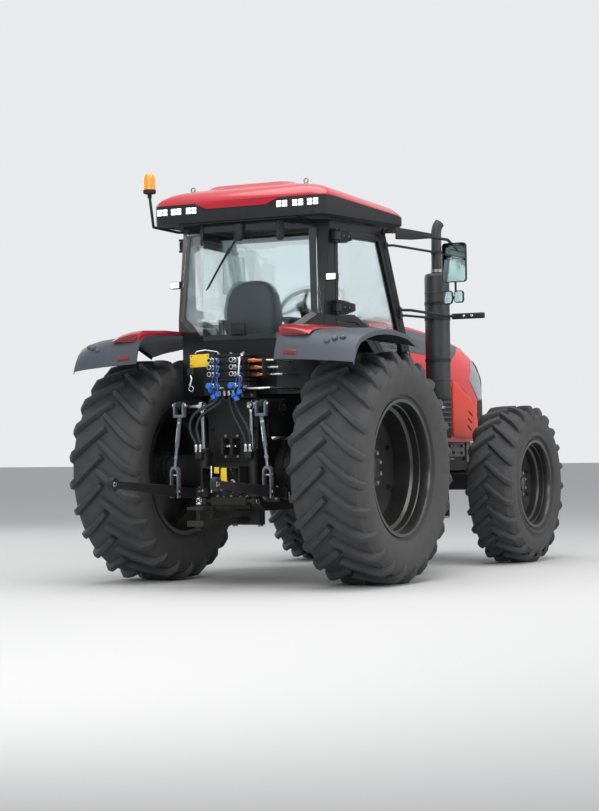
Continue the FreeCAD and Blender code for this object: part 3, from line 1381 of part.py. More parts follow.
link_bar = lofted("link_bar", [
    link_section(s.link_place, s.link_out, s.link_high, 12, 34),
    link_section(tip_x, foot_out, foot_z, 14, 46),
    link_section(end_x, s.link_end_out, s.link_end_high, 12, 28),
])
link_whole = joined("link_whole", [
    link_bar,
    bar("link_root_eye", "y", 46, s.link_out - 22, s.link_out + 22, x=s.link_place, z=s.link_high),
    bar("link_end_eye", "y", s.link_eye_radius, s.link_end_out - 22, s.link_end_out + 22, x=end_x, z=s.link_end_high),
    bar("link_cross_pin", "y", s.lift_pin, foot_out - 48, foot_out + 48, x=tip_x, z=foot_z),
])
link = cut("link_bored", link_whole, [
    bar("link_root_bore", "y", s.link_pin + s.run_gap, s.link_out - 30, s.link_out + 30, x=s.link_place, z=s.link_high),
    bar("link_end_bore", "y", s.link_ball_bore, s.link_end_out - 30, s.link_end_out + 30, x=end_x, z=s.link_end_high),
])
node("lower_link_left", link)
node("lower_link_right", mirrored("link_twin", link))

# Lift rods: a clevis on the arm's pin, a screw tube, and a slotted fork over the link's pin
clevis = [
    block("clevis_cheek_%d" % i, (tip_x - 24, tip_x + 24), (s.arm_out + low, s.arm_out + low + 16), (tip_z - 70, tip_z + 26))
    for i, low in enumerate((-46, 30))
]
clevis.append(block("clevis_bridge", (tip_x - 24, tip_x + 24), (s.arm_out - 46, s.arm_out + 46), (tip_z - 92, tip_z - 68)))
fork = [
    block("fork_cheek_%d" % i, (tip_x - 24, tip_x + 24), (foot_out + low, foot_out + low + 12), (foot_z - 52, foot_z + 190))
    for i, low in enumerate((-36, 24))
]
fork.append(block("fork_bridge", (tip_x - 24, tip_x + 24), (foot_out - 36, foot_out + 36), (foot_z + 166, foot_z + 192)))
tube = pipe("lift_tube", [(tip_x, s.arm_out, tip_z - 80), (tip_x, foot_out, foot_z + 180)], 17, 1)
rod_whole = joined("lift_rod_whole", clevis + fork + [tube])
rod_cut = cut("lift_rod_bored", rod_whole, [
    bar("clevis_bore", "y", s.lift_pin + s.run_gap, s.arm_out - 60, s.arm_out + 60, x=tip_x, z=tip_z),
    block("fork_slot", (tip_x - s.lift_pin - 1, tip_x + s.lift_pin + 1), (foot_out - 60, foot_out + 60),
          (foot_z - 34, foot_z + 34)),
])
node("lift_rods", rod_cut, mirrored("lift_rod_twin", rod_cut))

# Assist cylinders: a barrel on its foot pin and a rod whose eye lies loosely over the arm's pin
foot = Vector(*[float(v) for v in (s.cyl_foot_place, s.cyl_out, s.cyl_foot_high)])
eye = Vector(*[float(v) for v in (cyl_x, s.cyl_out, cyl_z)])
lean = (eye - foot).normalize()
barrel_top = foot + lean * 395
barrel = joined("cyl_barrel_whole", [
    made("cyl_tube", Part.makeCylinder(float(s.cyl_radius), 365, foot + lean * 30, lean)),
    made("cyl_gland", Part.makeCylinder(float(s.cyl_radius) + 6, 36, barrel_top - lean * 30, lean)),
    bar("cyl_foot_eye", "y", 36, s.cyl_out - 20, s.cyl_out + 20, x=s.cyl_foot_place, z=s.cyl_foot_high),
])
barrel_cut = cut("cyl_barrel", barrel, [
    made("cyl_bore", Part.makeCylinder(float(s.cyl_rod_radius + s.run_gap), 420, foot + lean * 52, lean)),
    bar("cyl_foot_bore", "y", s.link_pin + s.run_gap, s.cyl_out - 30, s.cyl_out + 30, x=s.cyl_foot_place,
        z=s.cyl_foot_high),
])
node("cylinder_barrels", barrel_cut, mirrored("cyl_barrel_twin", barrel_cut))
reach_to_eye = (eye - foot).Length
cyl_rod = cut("cyl_rod", joined("cyl_rod_whole", [
    made("cyl_rod_bar", Part.makeCylinder(float(s.cyl_rod_radius), reach_to_eye - 165, foot + lean * 160, lean)),
    bar("cyl_rod_eye", "y", s.lift_pin + s.eye_play + 12, s.cyl_out - 16, s.cyl_out + 16, x=cyl_x, z=cyl_z),
]), [bar("cyl_rod_bore", "y", s.lift_pin + s.eye_play, s.cyl_out - 30, s.cyl_out + 30, x=cyl_x, z=cyl_z)])
node("cylinder_rods", cyl_rod, mirrored("cyl_rod_twin", cyl_rod))

# Hitch carrier: the pins under the axle, the top-link bracket, the PTO guard and the drawbar's hanger
link_bracket = joined("link_bracket", [
    block("link_bracket_block", (s.link_place - 55, s.link_place + 55),
          (s.gearbox_half + s.seat_gap, s.link_out - 28), (s.link_high - 60, s.link_high + 45)),
    bar("link_bracket_pin", "y", s.link_pin, s.link_out - 40, s.link_out + 36, x=s.link_place, z=s.link_high),
])
back = -1 * s.gearbox_rear - s.seat_gap
top_ears = [block("top_ear_%d" % i, (back - 100, back), (low, low + 20), (990, 1110)) for i, low in enumerate((-50, 30))]
top_bracket = cut("top_bracket", joined("top_bracket_whole", top_ears + [
    block("top_back", (back - 20, back), (-60, 60), (960, 1140))]), [
    bar("top_bore", "y", s.top_pin_bore, -60, 60, x=back - 66, z=1050)])
cyl_feet = joined("cyl_feet", [
    block("cyl_foot_plate", (back - 22, back), (-150, 150), (580, 690)),
    bar("cyl_foot_pin", "y", s.link_pin, -1 * s.cyl_out - 28, s.cyl_out + 28, x=s.cyl_foot_place, z=s.cyl_foot_high),
    block("cyl_foot_lug", (s.cyl_foot_place - 24, back - 4), (-150, 150), (612, 668)),
])
guard = joined("pto_guard", [
    block("guard_top", (-640, back), (-165, 165), (888, 897)),
    block("guard_left", (-640, back), (156, 165), (740, 897)),
    block("guard_right", (-640, back), (-165, -156), (740, 897)),
])
drawbar_solid = joined("drawbar_whole", [
    block("drawbar_bar", (-1000, -120), (-40, 40), (474, 510)),
    block("drawbar_hanger", (-280, -200), (-130, 130), (450, s.gearbox_low - s.seat_gap)),
    block("clevis_top", (-1010, -860), (-68, 68), (590, 612)),
    block("clevis_low", (-1010, -860), (-68, 68), (470, 512)),
    block("clevis_back", (-884, -860), (-68, 68), (470, 612)),
])
drawbar_cut = cut("drawbar_bored", drawbar_solid, [bar("tow_bore", "z", s.tow_pin + s.run_gap, 400, 700, x=-950)])
tow_pin = joined("tow_pin_whole", [
    bar("tow_pin_bar", "z", s.tow_pin, 436, 646, x=-950),
    bar("tow_pin_head", "z", s.tow_pin + 9, 612 + s.seat_gap, 630, x=-950),
])
node("drawbar", drawbar_cut, tow_pin)
node("hitch_brackets", top_bracket, cyl_feet, guard, link_bracket, mirrored("link_bracket_twin", link_bracket))
node("pto_shaft", turned("pto_shaft_turned", "x", [
    (-350, 0), (-350, 22), (-450, 22), (-450, 26), (-462, 26), (-462, s.pto_radius), (-548, s.pto_radius), (-552, s.pto_radius - 4),
    (-552, 0)], 0, 0, 775))

# Remote valves: the block on the lift housing with its couplers, and the steel pipes to the cab
valve = [
    block("valve_block", (-600, -409), (-250, 60), (1466, 1740)),
    block("valve_foot", (-440, -409), (-200, 20), (s.lift_house_top + s.seat_gap, 1470)),
]
for column, y in enumerate((-160, 30)):
    for line, z in enumerate((1690, 1638, 1586, 1500)):
        valve.append(bar("coupler_%d_%d" % (column, line), "x", 19, -735, -598, y=y, z=z))
wing_slope = (s.cab_corner_low - s.cab_rear_low) / (side_y(s.cab_corner_low) - s.cab_flat_half)
pipe_radius = 8
pipes = []
for i, z in enumerate((1686, 1634, 1582)):
    start_x = -560 + 30 * i
    pipe_y = 430 + 20 * i
    wall_x = s.cab_rear_low + wing_slope * (pipe_y - s.cab_flat_half - pipe_radius) - s.seat_gap
    pipes.append(pipe("valve_pipe_%d" % i, [(start_x, -250 - s.seat_gap, z), (start_x, -1 * pipe_y, z),
                                            (wall_x, -1 * pipe_y, z)], pipe_radius, 26))
node("remote_valves", joined("remote_valves_whole", valve), *pipes)


# Check every object, then write each sub-part
def write_parts():
    os.makedirs("parts", exist_ok=True)
    doc.recompute()
    for piece in doc.Objects:
        if "Invalid" in piece.State or "Error" in piece.State:
            raise RuntimeError("%s: %s" % (piece.Name, piece.State))
    for part in nodes:
        if part.Shape.isNull() or not part.Shape.isValid() or not part.Shape.Solids:
            raise RuntimeError("%s has no valid solid" % part.Label)
    for part in nodes:
        part.Shape.exportStep("parts/%s.step" % part.Label)


write_parts()
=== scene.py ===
import bmesh
import bpy
import math
from mathutils import Matrix, Vector


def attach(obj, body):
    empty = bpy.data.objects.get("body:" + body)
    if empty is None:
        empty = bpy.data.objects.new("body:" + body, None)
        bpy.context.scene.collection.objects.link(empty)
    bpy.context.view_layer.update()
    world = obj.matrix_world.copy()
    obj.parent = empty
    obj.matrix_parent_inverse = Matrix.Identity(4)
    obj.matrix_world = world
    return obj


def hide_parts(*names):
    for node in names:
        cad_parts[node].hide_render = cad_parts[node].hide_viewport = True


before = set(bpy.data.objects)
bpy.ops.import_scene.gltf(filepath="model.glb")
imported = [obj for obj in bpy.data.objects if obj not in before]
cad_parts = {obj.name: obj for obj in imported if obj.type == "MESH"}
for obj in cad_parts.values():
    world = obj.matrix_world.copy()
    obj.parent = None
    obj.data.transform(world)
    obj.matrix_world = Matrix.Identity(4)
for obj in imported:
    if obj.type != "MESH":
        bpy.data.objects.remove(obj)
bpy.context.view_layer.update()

# The photograph's view: a long lens, low behind the tractor's right rear corner.
# The place is measured from the ground under the machine's middle.
eye = Vector((-14.4756, -7.5342, 1.0937))
yaw, pitch, roll = math.radians(28.3294), math.radians(0.9822), math.radians(-0.8479)
ahead = Vector((math.cos(yaw) * math.cos(pitch), math.sin(yaw) * math.cos(pitch), math.sin(pitch)))
level = Vector((math.sin(yaw), -math.cos(yaw), 0))
upright = level.cross(ahead)
right = level * math.cos(roll) + upright * math.sin(roll)
up = upright * math.cos(roll) - level * math.sin(roll)
lens = bpy.data.cameras.new("camera")
lens.sensor_width = 36
lens.lens = 1980.4 * 36 / 811
lens.clip_end = 200
camera = bpy.data.objects.new("camera", lens)
camera.matrix_world = Matrix.Translation(eye) @ Matrix((right, up, -ahead)).transposed().to_4x4()
bpy.context.scene.collection.objects.link(camera)
bpy.context.scene.camera = camera
bpy.context.scene.view_settings.view_transform = "Standard"


# Studio floor and light: a wide pale floor, a large soft lamp overhead and two at the sides.
# The floor and the world show paler to the camera than the light they give.
def add_node(nodes, kind, operation="", **inputs):
    """Adds a shader node, with its operation and its plain input values."""
    node = nodes.new("ShaderNode" + kind)
    if operation:
        node.operation = operation
    for socket, amount in inputs.items():
        node.inputs[socket.replace("_", " ")].default_value = amount
    return node


def seen_paler(nodes, links, plain, pale):
    """Mixes two shaders so that the camera, mirrors and glass see the paler one."""
    path = nodes.new("ShaderNodeLightPath")
    either, any_ray = [add_node(nodes, "Math", "MAXIMUM") for _ in range(2)]
    links.new(path.outputs["Is Camera Ray"], either.inputs[0])
    links.new(path.outputs["Is Glossy Ray"], either.inputs[1])
    links.new(either.outputs[0], any_ray.inputs[0])
    links.new(path.outputs["Is Transmission Ray"], any_ray.inputs[1])
    mix = nodes.new("ShaderNodeMixShader")
    for k, source in enumerate((any_ray, plain, pale)):
        links.new(source.outputs[0], mix.inputs[k])
    return mix


world = bpy.data.worlds.new("studio")
bpy.context.scene.world = world
world.use_nodes = True
sky_nodes = world.node_tree.nodes
sky_nodes.clear()
sky_light = add_node(sky_nodes, "Background", Color=(0.86, 0.93, 1.0, 1), Strength=0.55)
sky_seen = add_node(sky_nodes, "Background", Color=(0.88, 0.9, 0.92, 1), Strength=0.92)
sky_out = sky_nodes.new("ShaderNodeOutputWorld")
sky_links = world.node_tree.links
sky_links.new(seen_paler(sky_nodes, sky_links, sky_light, sky_seen).outputs[0], sky_out.inputs[0])

for name, place, size, watts in (
        ("overhead_lamp", (-1.5, -1.0, 8.0), 9.0, 560),
        ("rear_lamp", (-9.0, -2.5, 4.5), 5.0, 260),
        ("side_lamp", (1.0, -9.0, 4.0), 5.0, 220),
        ("far_lamp", (3.0, 9.0, 4.5), 5.0, 150)):
    soft_lamp = bpy.data.lights.new(name, "AREA")
    soft_lamp.shape = "DISK"
    soft_lamp.size = size
    soft_lamp.energy = watts
    lamp_object = bpy.data.objects.new(name, soft_lamp)
    lamp_object.location = place
    lamp_object.rotation_euler = (Vector((0, 0, 1.2)) - Vector(place)).to_track_quat("-Z", "Y").to_euler()
    bpy.context.scene.collection.objects.link(lamp_object)

floor_mesh = bpy.data.meshes.new("floor")
floor_mesh.from_pydata([(-60, -60, 0), (60, -60, 0), (60, 60, 0), (-60, 60, 0)], [], [(0, 1, 2, 3)])
floor = bpy.data.objects.new("floor", floor_mesh)
bpy.context.scene.collection.objects.link(floor)
floor_finish = bpy.data.materials.new("floor_finish")
floor_finish.use_nodes = True
floor_shader = floor_finish.node_tree.nodes["Principled BSDF"]
floor_shader.inputs["Base Color"].default_value = (0.62, 0.61, 0.59, 1)
floor_shader.inputs["Roughness"].default_value = 0.9
floor_mesh.materials.append(floor_finish)


# Tyres: black rubber moulded in one with chevron lugs, darker on the worn tops, dusty between them.
# The two halves of the tread are half a pitch apart, and each lug runs on down the side wall.
def colour_mix(nodes, links, share, first, second):
    """Mixes two colours by a share; each is a plain colour or another node's output."""
    mix = nodes.new("ShaderNodeMix")
    mix.data_type = "RGBA"
    links.new(share, mix.inputs["Factor"])
    for socket, colour in (("A", first), ("B", second)):
        if isinstance(colour, tuple):
            mix.inputs[socket].default_value = colour + (1,)
        else:
            links.new(colour, mix.inputs[socket])
    return mix.outputs["Result"]


def product(nodes, links, first, second):
    """Two outputs multiplied."""
    times = add_node(nodes, "Math", "MULTIPLY")
    links.new(first, times.inputs[0])
    links.new(second, times.inputs[1])
    return times.outputs[0]


def add_relief(nodes, links, height, strength, distance):
    """Bump from an output, on the material's own shader."""
    relief = add_node(nodes, "Bump", Strength=strength, Distance=distance)
    links.new(height, relief.inputs["Height"])
    links.new(relief.outputs["Normal"], nodes["Principled BSDF"].inputs["Normal"])


def finish(name, colour, rough, metal=0.0, drift=0.12, mottle=3.0, grain=260.0, bump=0.04, dust=0.0,
           dust_top=1.3, **sockets):
    """A surface whose colour and gloss drift a little, with fine grain, and dust that thins out upwards."""
    dust_brown = (0.30, 0.26, 0.20)
    material = bpy.data.materials.new(name)
    material.use_nodes = True
    nodes, links = material.node_tree.nodes, material.node_tree.links
    shader = nodes["Principled BSDF"]
    shader.inputs["Metallic"].default_value = metal
    for socket, amount in sockets.items():
        shader.inputs[socket.replace("_", " ")].default_value = amount
    spot = nodes.new("ShaderNodeTexCoord").outputs["Object"]
    patches = add_node(nodes, "TexNoise", Scale=mottle, Detail=6)
    links.new(spot, patches.inputs["Vector"])
    spread = add_node(nodes, "MapRange", From_Min=0.3, From_Max=0.7)
    links.new(patches.outputs["Fac"], spread.inputs["Value"])
    last = colour_mix(nodes, links, spread.outputs["Result"], tuple(c * (1 - drift) for c in colour),
                      tuple(min(1, c * (1 + drift)) for c in colour))
    if dust:
        height = nodes.new("ShaderNodeSeparateXYZ")
        links.new(spot, height.inputs["Vector"])
        fade = add_node(nodes, "MapRange", From_Min=dust_top, From_Max=0.1, To_Max=dust)
        links.new(height.outputs["Z"], fade.inputs["Value"])
        blotch = add_node(nodes, "TexNoise", Scale=mottle * 5, Detail=8)
        links.new(spot, blotch.inputs["Vector"])
        amount = product(nodes, links, fade.outputs["Result"], blotch.outputs["Fac"])
        last = colour_mix(nodes, links, amount, last, dust_brown)
    links.new(last, shader.inputs["Base Color"])
    gloss = add_node(nodes, "MapRange", To_Min=rough * 0.85, To_Max=min(1, rough * 1.15))
    links.new(patches.outputs["Fac"], gloss.inputs["Value"])
    links.new(gloss.outputs["Result"], shader.inputs["Roughness"])
    if bump:
        fine = add_node(nodes, "TexNoise", Scale=grain, Detail=3)
        links.new(spot, fine.inputs["Vector"])
        add_relief(nodes, links, fine.outputs["Fac"], bump, 0.002)
    return material


def in_metres(x, y, z):
    """A place in the model's own frame, from millimetres measured from the ground under the rear axle."""
    middle = 1120
    return ((x - middle) / 1000, y / 1000, z / 1000)


class Form:
    """A piece in the making, out of lofts; places are in millimetres from the ground under the rear axle."""

    def __init__(self, name, soft=0.0):
        self.name = name
        self.soft = soft
        self.places = []
        self.faces = []
        self.kinds = []
        self.finishes = []

    def loft(self, rings, finish, closed=True, capped=True, soft=None):
        """Skins rings of as many places each; closed rings' ends can be capped, and sharp edges softened."""
        part = bmesh.new()
        rows = [[part.verts.new(place) for place in ring] for ring in rings]
        count = len(rows[0])
        for low, high in zip(rows, rows[1:]):
            for i in range(count if closed else count - 1):
                part.faces.new((low[i], low[(i + 1) % count], high[(i + 1) % count], high[i]))
        if closed and capped:
            part.faces.new(rows[0][::-1])
            part.faces.new(rows[-1])
        bmesh.ops.remove_doubles(part, verts=part.verts, dist=0.01)
        bmesh.ops.recalc_face_normals(part, faces=part.faces)
        width = self.soft if soft is None else soft
        if width:
            edges = [e for e in part.edges if len(e.link_faces) == 2 and e.calc_face_angle() > 0.6]
            bmesh.ops.bevel(part, geom=edges, offset=width, segments=2, profile=0.5, affect="EDGES")
        if finish not in self.finishes:
            self.finishes.append(finish)
        start = len(self.places)
        part.verts.index_update()
        self.places += [vert.co.copy() for vert in part.verts]
        self.faces += [[vert.index + start for vert in face.verts] for face in part.faces]
        self.kinds += [self.finishes.index(finish)] * len(part.faces)
        part.free()

    def block(self, x, y, z, finish, soft=None):
        """A box between two places along each axis."""
        self.loft([[(x[0], y[0], h), (x[1], y[0], h), (x[1], y[1], h), (x[0], y[1], h)] for h in z],
                  finish, soft=soft)

    def slab(self, axis, corners, low, high, finish, soft=None):
        """An outline drawn out between two places on an axis; its corners are given along the other two."""
        order = {"x": (2, 0, 1), "y": (0, 2, 1), "z": (0, 1, 2)}[axis]
        self.loft([[[(a, b, h)[k] for k in order] for a, b in corners] for h in (low, high)],
                  finish, soft=soft)

    def rings(self, stations, finish, sides=20, capped=True, soft=0.0):
        """A round form through (place, radius) stations, each ring square to the way from its neighbours."""
        at = [Vector(place) for place, radius in stations]
        facing = (at[-1] - at[0]).normalized()
        side = facing.orthogonal().normalized()
        rows = []
        for i, (place, radius) in enumerate(stations):
            way = at[min(i + 1, len(at) - 1)] - at[max(i - 1, 0)]
            if way.length > 1e-6:
                facing = way.normalized()
            side = (side - facing * side.dot(facing)).normalized()
            other = facing.cross(side)
            turns = [2 * math.pi * j / sides for j in range(sides)]
            rows.append([at[i] + (side * math.cos(a) + other * math.sin(a)) * radius for a in turns])
        self.loft(rows, finish, capped=capped, soft=soft)

    def rod(self, start, end, radius, finish, sides=20, soft=0.0):
        """A round or many-sided bar between two places."""
        self.rings([(start, radius), (end, radius)], finish, sides, soft=soft)

    def collar(self, place, way, profile, finish, sides=28, soft=0.0):
        """A round form along a way from a place, through (distance, radius) stations."""
        self.rings([(Vector(place) + Vector(way) * d, r) for d, r in profile], finish, sides, soft=soft)

    def bent(self, points, radius, bend, finish, sides=12):
        """A tube through straight runs and round bends."""
        at = [Vector(p) for p in points]
        line = [at[0]]
        for before, corner, after in zip(at, at[1:], at[2:]):
            back, onward = (before - corner).normalized(), (after - corner).normalized()
            half = back.angle(onward) / 2
            reach = min(bend / math.tan(half), 0.48 * (before - corner).length,
                        0.48 * (after - corner).length)
            middle = corner + (back + onward).normalized() * reach / math.cos(half)
            first = corner + back * reach
            last = corner + onward * reach
            for k in range(7):
                arm = (first - middle).slerp(last - middle, k / 6)
                line.append(middle + arm)
        line.append(at[-1])
        self.rings([(place, radius) for place in line], finish, sides)

    def turn(self, centre, axis, profile, finish, steps=64, closed=False, soft=0.0):
        """A profile of (along, radius) turned about an axis; a closed profile makes a ring."""
        k = "xyz".index(axis)
        rows = []
        for j in range(steps + 1):
            a = 2 * math.pi * j / steps
            row = []
            for along, radius in profile:
                place = [radius * math.cos(a), radius * math.sin(a)]
                place.insert(k, along)
                row.append(Vector(place) + Vector(centre))
            rows.append(row)
        self.loft(rows, finish, closed=closed, capped=False, soft=soft)

    def bolts(self, spots, axis, out, size, finish):
        """Hexagon heads on washers, standing out along an axis."""
        k = "xyz".index(axis)
        for spot in spots:
            for radius, low, high, sides in ((size * 0.72, 0, 0.14, 16), (size * 0.55, 0.14, 0.75, 6)):
                ends = []
                for lift in (low, high):
                    place = list(spot)
                    place[k] += out * lift * size
                    ends.append(place)
                self.rod(ends[0], ends[1], radius, finish, sides)

    def mirror(self):
        """Adds the same piece on the other side of the tractor."""
        start = len(self.places)
        self.places += [Vector((p[0], -p[1], p[2])) for p in self.places]
        self.faces += [[i + start for i in face[::-1]] for face in self.faces[:len(self.kinds)]]
        self.kinds += self.kinds

    def done(self, body, slot, replaces=(), smooth=38):
        """Makes the object in the model's frame, shades it and lets it ride on its body."""
        mesh = bpy.data.meshes.new(self.name)
        mesh.from_pydata([in_metres(*place) for place in self.places], [], self.faces)
        for finish in self.finishes:
            mesh.materials.append(finish)
        mesh.polygons.foreach_set("material_index", self.kinds)
        mesh.polygons.foreach_set("use_smooth", [True] * len(mesh.polygons))
        mesh.set_sharp_from_angle(angle=math.radians(smooth))
        mesh.update()
        piece = bpy.data.objects.new(self.name, mesh)
        bpy.context.scene.collection.objects.link(piece)
        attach(piece, body)
        if replaces:
            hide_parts(*replaces)
        return piece


def tread_rubber(name, x, z, low, high):
    """Rubber, dusty brown between the lugs and charcoal on their tops, by the distance from the axle."""
    soil_brown = (0.115, 0.098, 0.078)
    material = finish(name, (0.036, 0.038, 0.042), 0.72, drift=0.25, mottle=9, grain=420, bump=0.12)
    nodes, links = material.node_tree.nodes, material.node_tree.links
    base = nodes["Principled BSDF"].inputs["Base Color"]
    spot = nodes.new("ShaderNodeTexCoord").outputs["Object"]
    arm, flat, far = [add_node(nodes, "VectorMath", operation)
                      for operation in ("SUBTRACT", "MULTIPLY", "LENGTH")]
    arm.inputs[1].default_value = in_metres(x, 0, z)
    flat.inputs[1].default_value = (1, 0, 1)
    links.new(spot, arm.inputs[0])
    links.new(arm.outputs[0], flat.inputs[0])
    links.new(flat.outputs[0], far.inputs[0])
    groove = add_node(nodes, "MapRange", From_Min=high / 1000, From_Max=low / 1000, To_Max=0.4)
    links.new(far.outputs["Value"], groove.inputs["Value"])
    soil = add_node(nodes, "TexNoise", Scale=14, Detail=9)
    links.new(spot, soil.inputs["Vector"])
    amount = product(nodes, links, groove.outputs["Result"], soil.outputs["Fac"])
    links.new(colour_mix(nodes, links, amount, base.links[0].from_socket, soil_brown), base)
    return material


def tyre(node, body, side, x, track, radius, half, bead, crown_half, lug_count, lug_high, lug_wide,
         sweep, rubber):
    """One tyre: the casing from bead to bead with its rim rib, and lugs on both halves of the tread."""
    form = Form(node + "_rubber")
    centre = Vector((x, side * track / 2, radius))
    floor_of_tread = radius - lug_high
    profile_half = [(bead[0], bead[1]), (bead[0] + 6, bead[1] + 24), (bead[0] + 26, bead[1] + 30),
                    (bead[0] + 34, bead[1] + 44), (half - 14, bead[1] + 0.24 * (radius - bead[1])),
                    (half - 4, bead[1] + 0.38 * (radius - bead[1])),
                    (half - 2, bead[1] + 0.52 * (radius - bead[1])),
                    (half - 8, bead[1] + 0.66 * (radius - bead[1])), (half - 26, floor_of_tread - 44),
                    (half - 52, floor_of_tread - 16), (crown_half * 0.7, floor_of_tread - 3),
                    (crown_half * 0.3, floor_of_tread), (0, floor_of_tread)]
    inside = [(0, floor_of_tread - 30), (crown_half * 0.8, floor_of_tread - 36),
              (half - 60, floor_of_tread - 90), (half - 46, bead[1] + 0.3 * (radius - bead[1])),
              (bead[0] - 24, bead[1] + 6), (bead[0] - 24, bead[1])]
    ring = profile_half + [(-a, r) for a, r in profile_half[-2::-1]]
    ring += [(-a, r) for a, r in inside[::-1]] + inside[1:]
    form.turn(centre, "y", ring, rubber, steps=120, closed=True)
    stations = (
        # across as a share of the half width, top radius, foot radius, share of the sweep, width share
        (-0.05, radius, floor_of_tread - 2, -0.05, 0.86), (0.12, radius, floor_of_tread - 2, 0.14, 0.92),
        (0.35, radius, floor_of_tread - 4, 0.40, 0.96), (0.58, radius - 1, floor_of_tread - 6, 0.66, 1.0),
        (0.77, radius - 4, floor_of_tread - 18, 0.86, 1.08),
        (0.955, radius - lug_high * 1.2, floor_of_tread - 60, 1.0, 1.2),
        (0.992, radius - lug_high * 2.1, floor_of_tread - 96, 1.06, 1.1),
        (0.985, radius - lug_high * 3.0, floor_of_tread - 128, 1.1, 0.95))
    for hand in (-1, 1):
        for i in range(lug_count):
            start = 2 * math.pi * (i + (0.5 if hand * side > 0 else 0)) / lug_count

            def on_tread(share, reach, turned):
                angle = start - math.radians(sweep) * turned
                return centre + Vector((reach * math.sin(angle), hand * share * half,
                                        reach * math.cos(angle)))

            rows = []
            for k, (share, top, foot, turned, wide) in enumerate(stations):
                last, following = stations[max(k - 1, 0)], stations[min(k + 1, len(stations) - 1)]
                way = (on_tread(following[0], following[1], following[3]) - on_tread(
                    last[0], last[1], last[3])).normalized()
                crest, root = on_tread(share, top, turned), on_tread(share, foot, turned)
                if share > 0.95:
                    root = root - Vector((0, hand * (26 if share < 0.99 else 18), 0))
                outward = (crest - root).normalized()
                across = way.cross(outward).normalized()
                w = lug_wide * wide / 2
                rows.append([root - across * (w + 13), crest - across * w, crest + across * w,
                             root + across * (w + 13)])
            form.loft(rows, rubber, soft=5)
    return form.done(body, "tyre_rubber", (node,), smooth=32)


rear_rubber = tread_rubber("rear_tyre_rubber", 0, 870, 800, 862)
front_rubber = tread_rubber("front_tyre_rubber", 2750, 680, 622, 674)
for side, hand in ((1, "left"), (-1, "right")):
    tyre("rear_tyre_" + hand, "rear_wheel_" + hand, side, x=0, track=1900, radius=870, half=306,
         bead=(238, 517), crown_half=235, lug_count=24, lug_high=48, lug_wide=38, sweep=15.5,
         rubber=rear_rubber)
    tyre("front_tyre_" + hand, "front_wheel_" + hand, side, x=2750, track=1960, radius=680, half=210,
         bead=(178, 381), crown_half=155, lug_count=22, lug_high=38, lug_wide=34, sweep=14.0,
         rubber=front_rubber)


# Rims: rolled steel, painted black, with flanges, bead seats and a stepped barrel.
# The welded disc sits deep inside and is bolted to the hub by a ring of nuts.
rim_paint = finish("rim_paint", (0.014, 0.014, 0.015), 0.30, drift=0.2, mottle=6, bump=0.02, dust=0.12,
                   dust_top=1.2, Coat_Weight=0.35, Coat_Roughness=0.18)
nut_steel = finish("nut_steel", (0.42, 0.41, 0.39), 0.42, metal=0.9, mottle=60)


def around(centre, axis, radius, count, first=0.0):
    """Places evenly spaced on a circle about an axis."""
    places = []
    for k in range(count):
        a = first + 2 * math.pi * k / count
        place = [radius * math.cos(a), radius * math.sin(a)]
        place.insert("xyz".index(axis), 0)
        places.append(Vector(centre) + Vector(place))
    return places


def rim(node, body, side, x, track, axle_up, flange, half, well, disc, hub, nut_count, nut_circle, nut_size):
    """One rim: barrel, dished disc with its holes' rims, hub and nuts; side is the way outwards."""
    form = Form(node + "_painted")
    centre = Vector((x, side * track / 2, axle_up))
    seat = flange - 20

    def out(profile):
        return [(side * along, radius) for along, radius in profile]

    barrel = [(half, flange), (half - 4, flange + 1), (half - 13, flange), (half - 15, seat),
              (half * 0.52, seat - 8), (half * 0.36, well + 2), (half * 0.3, well), (-half * 0.3, well),
              (-half * 0.36, well + 2), (-half * 0.52, seat - 8), (-half + 15, seat), (-half + 13, flange),
              (-half + 4, flange + 1), (-half, flange), (-half, seat - 12), (-half * 0.52, seat - 20),
              (-half * 0.34, well - 12), (half * 0.26, well - 12), (half * 0.34, well - 8),
              (half * 0.40, well - 6), (half * 0.46, seat - 26), (half * 0.66, seat - 22),
              (half * 0.68, seat - 13), (half * 0.94, seat - 10), (half, seat - 4)]
    form.turn(centre, "y", out(barrel), rim_paint, steps=96, closed=True)
    dish = [(disc + 0, well - 12), (disc + 10, well - 16), (disc + 12, well - 40), (disc - 8, well - 90),
            (disc - 4, hub + 60), (disc + 26, hub + 34), (disc + 30, hub - 6), (disc + 30, hub * 0.80),
            (disc + 44, hub * 0.74), (disc + 46, hub * 0.5), (disc + 62, hub * 0.46), (disc + 66, hub * 0.2),
            (disc + 66, 0)]
    back = [(disc - 26, 0), (disc - 26, hub), (disc - 14, hub + 60), (disc - 18, well - 90),
            (disc, well - 40)]
    form.turn(centre, "y", out(dish + back), rim_paint, steps=96, closed=True)
    form.bolts(around(centre + Vector((0, side * (disc + 30), 0)), "y", nut_circle, nut_count,
                      math.pi / nut_count), "y", side, nut_size, nut_steel)
    form.bolts(around(centre + Vector((0, side * (disc - 2), 0)), "y", well - 62, 8, math.pi / 8),
               "y", side, nut_size * 1.1, rim_paint)
    axle = [(disc - 26, hub * 0.9), (disc - 60, hub * 0.9), (disc - 72, hub * 0.72), (disc - 150, hub * 0.62)]
    form.collar(centre, (0, side, 0), axle, rim_paint, 40)
    return form.done(body, "rim_paint", (node,))


for side, hand in ((1, "left"), (-1, "right")):
    rim("rear_rim_" + hand, "rear_wheel_" + hand, side, x=0, track=1900, axle_up=870, flange=516, half=250,
        well=452, disc=-46, hub=165, nut_count=10, nut_circle=138, nut_size=30)
    rim("front_rim_" + hand, "front_wheel_" + hand, side, x=2750, track=1960, axle_up=680, flange=380,
        half=190, well=322, disc=12, hub=118, nut_count=8, nut_circle=98, nut_size=24)


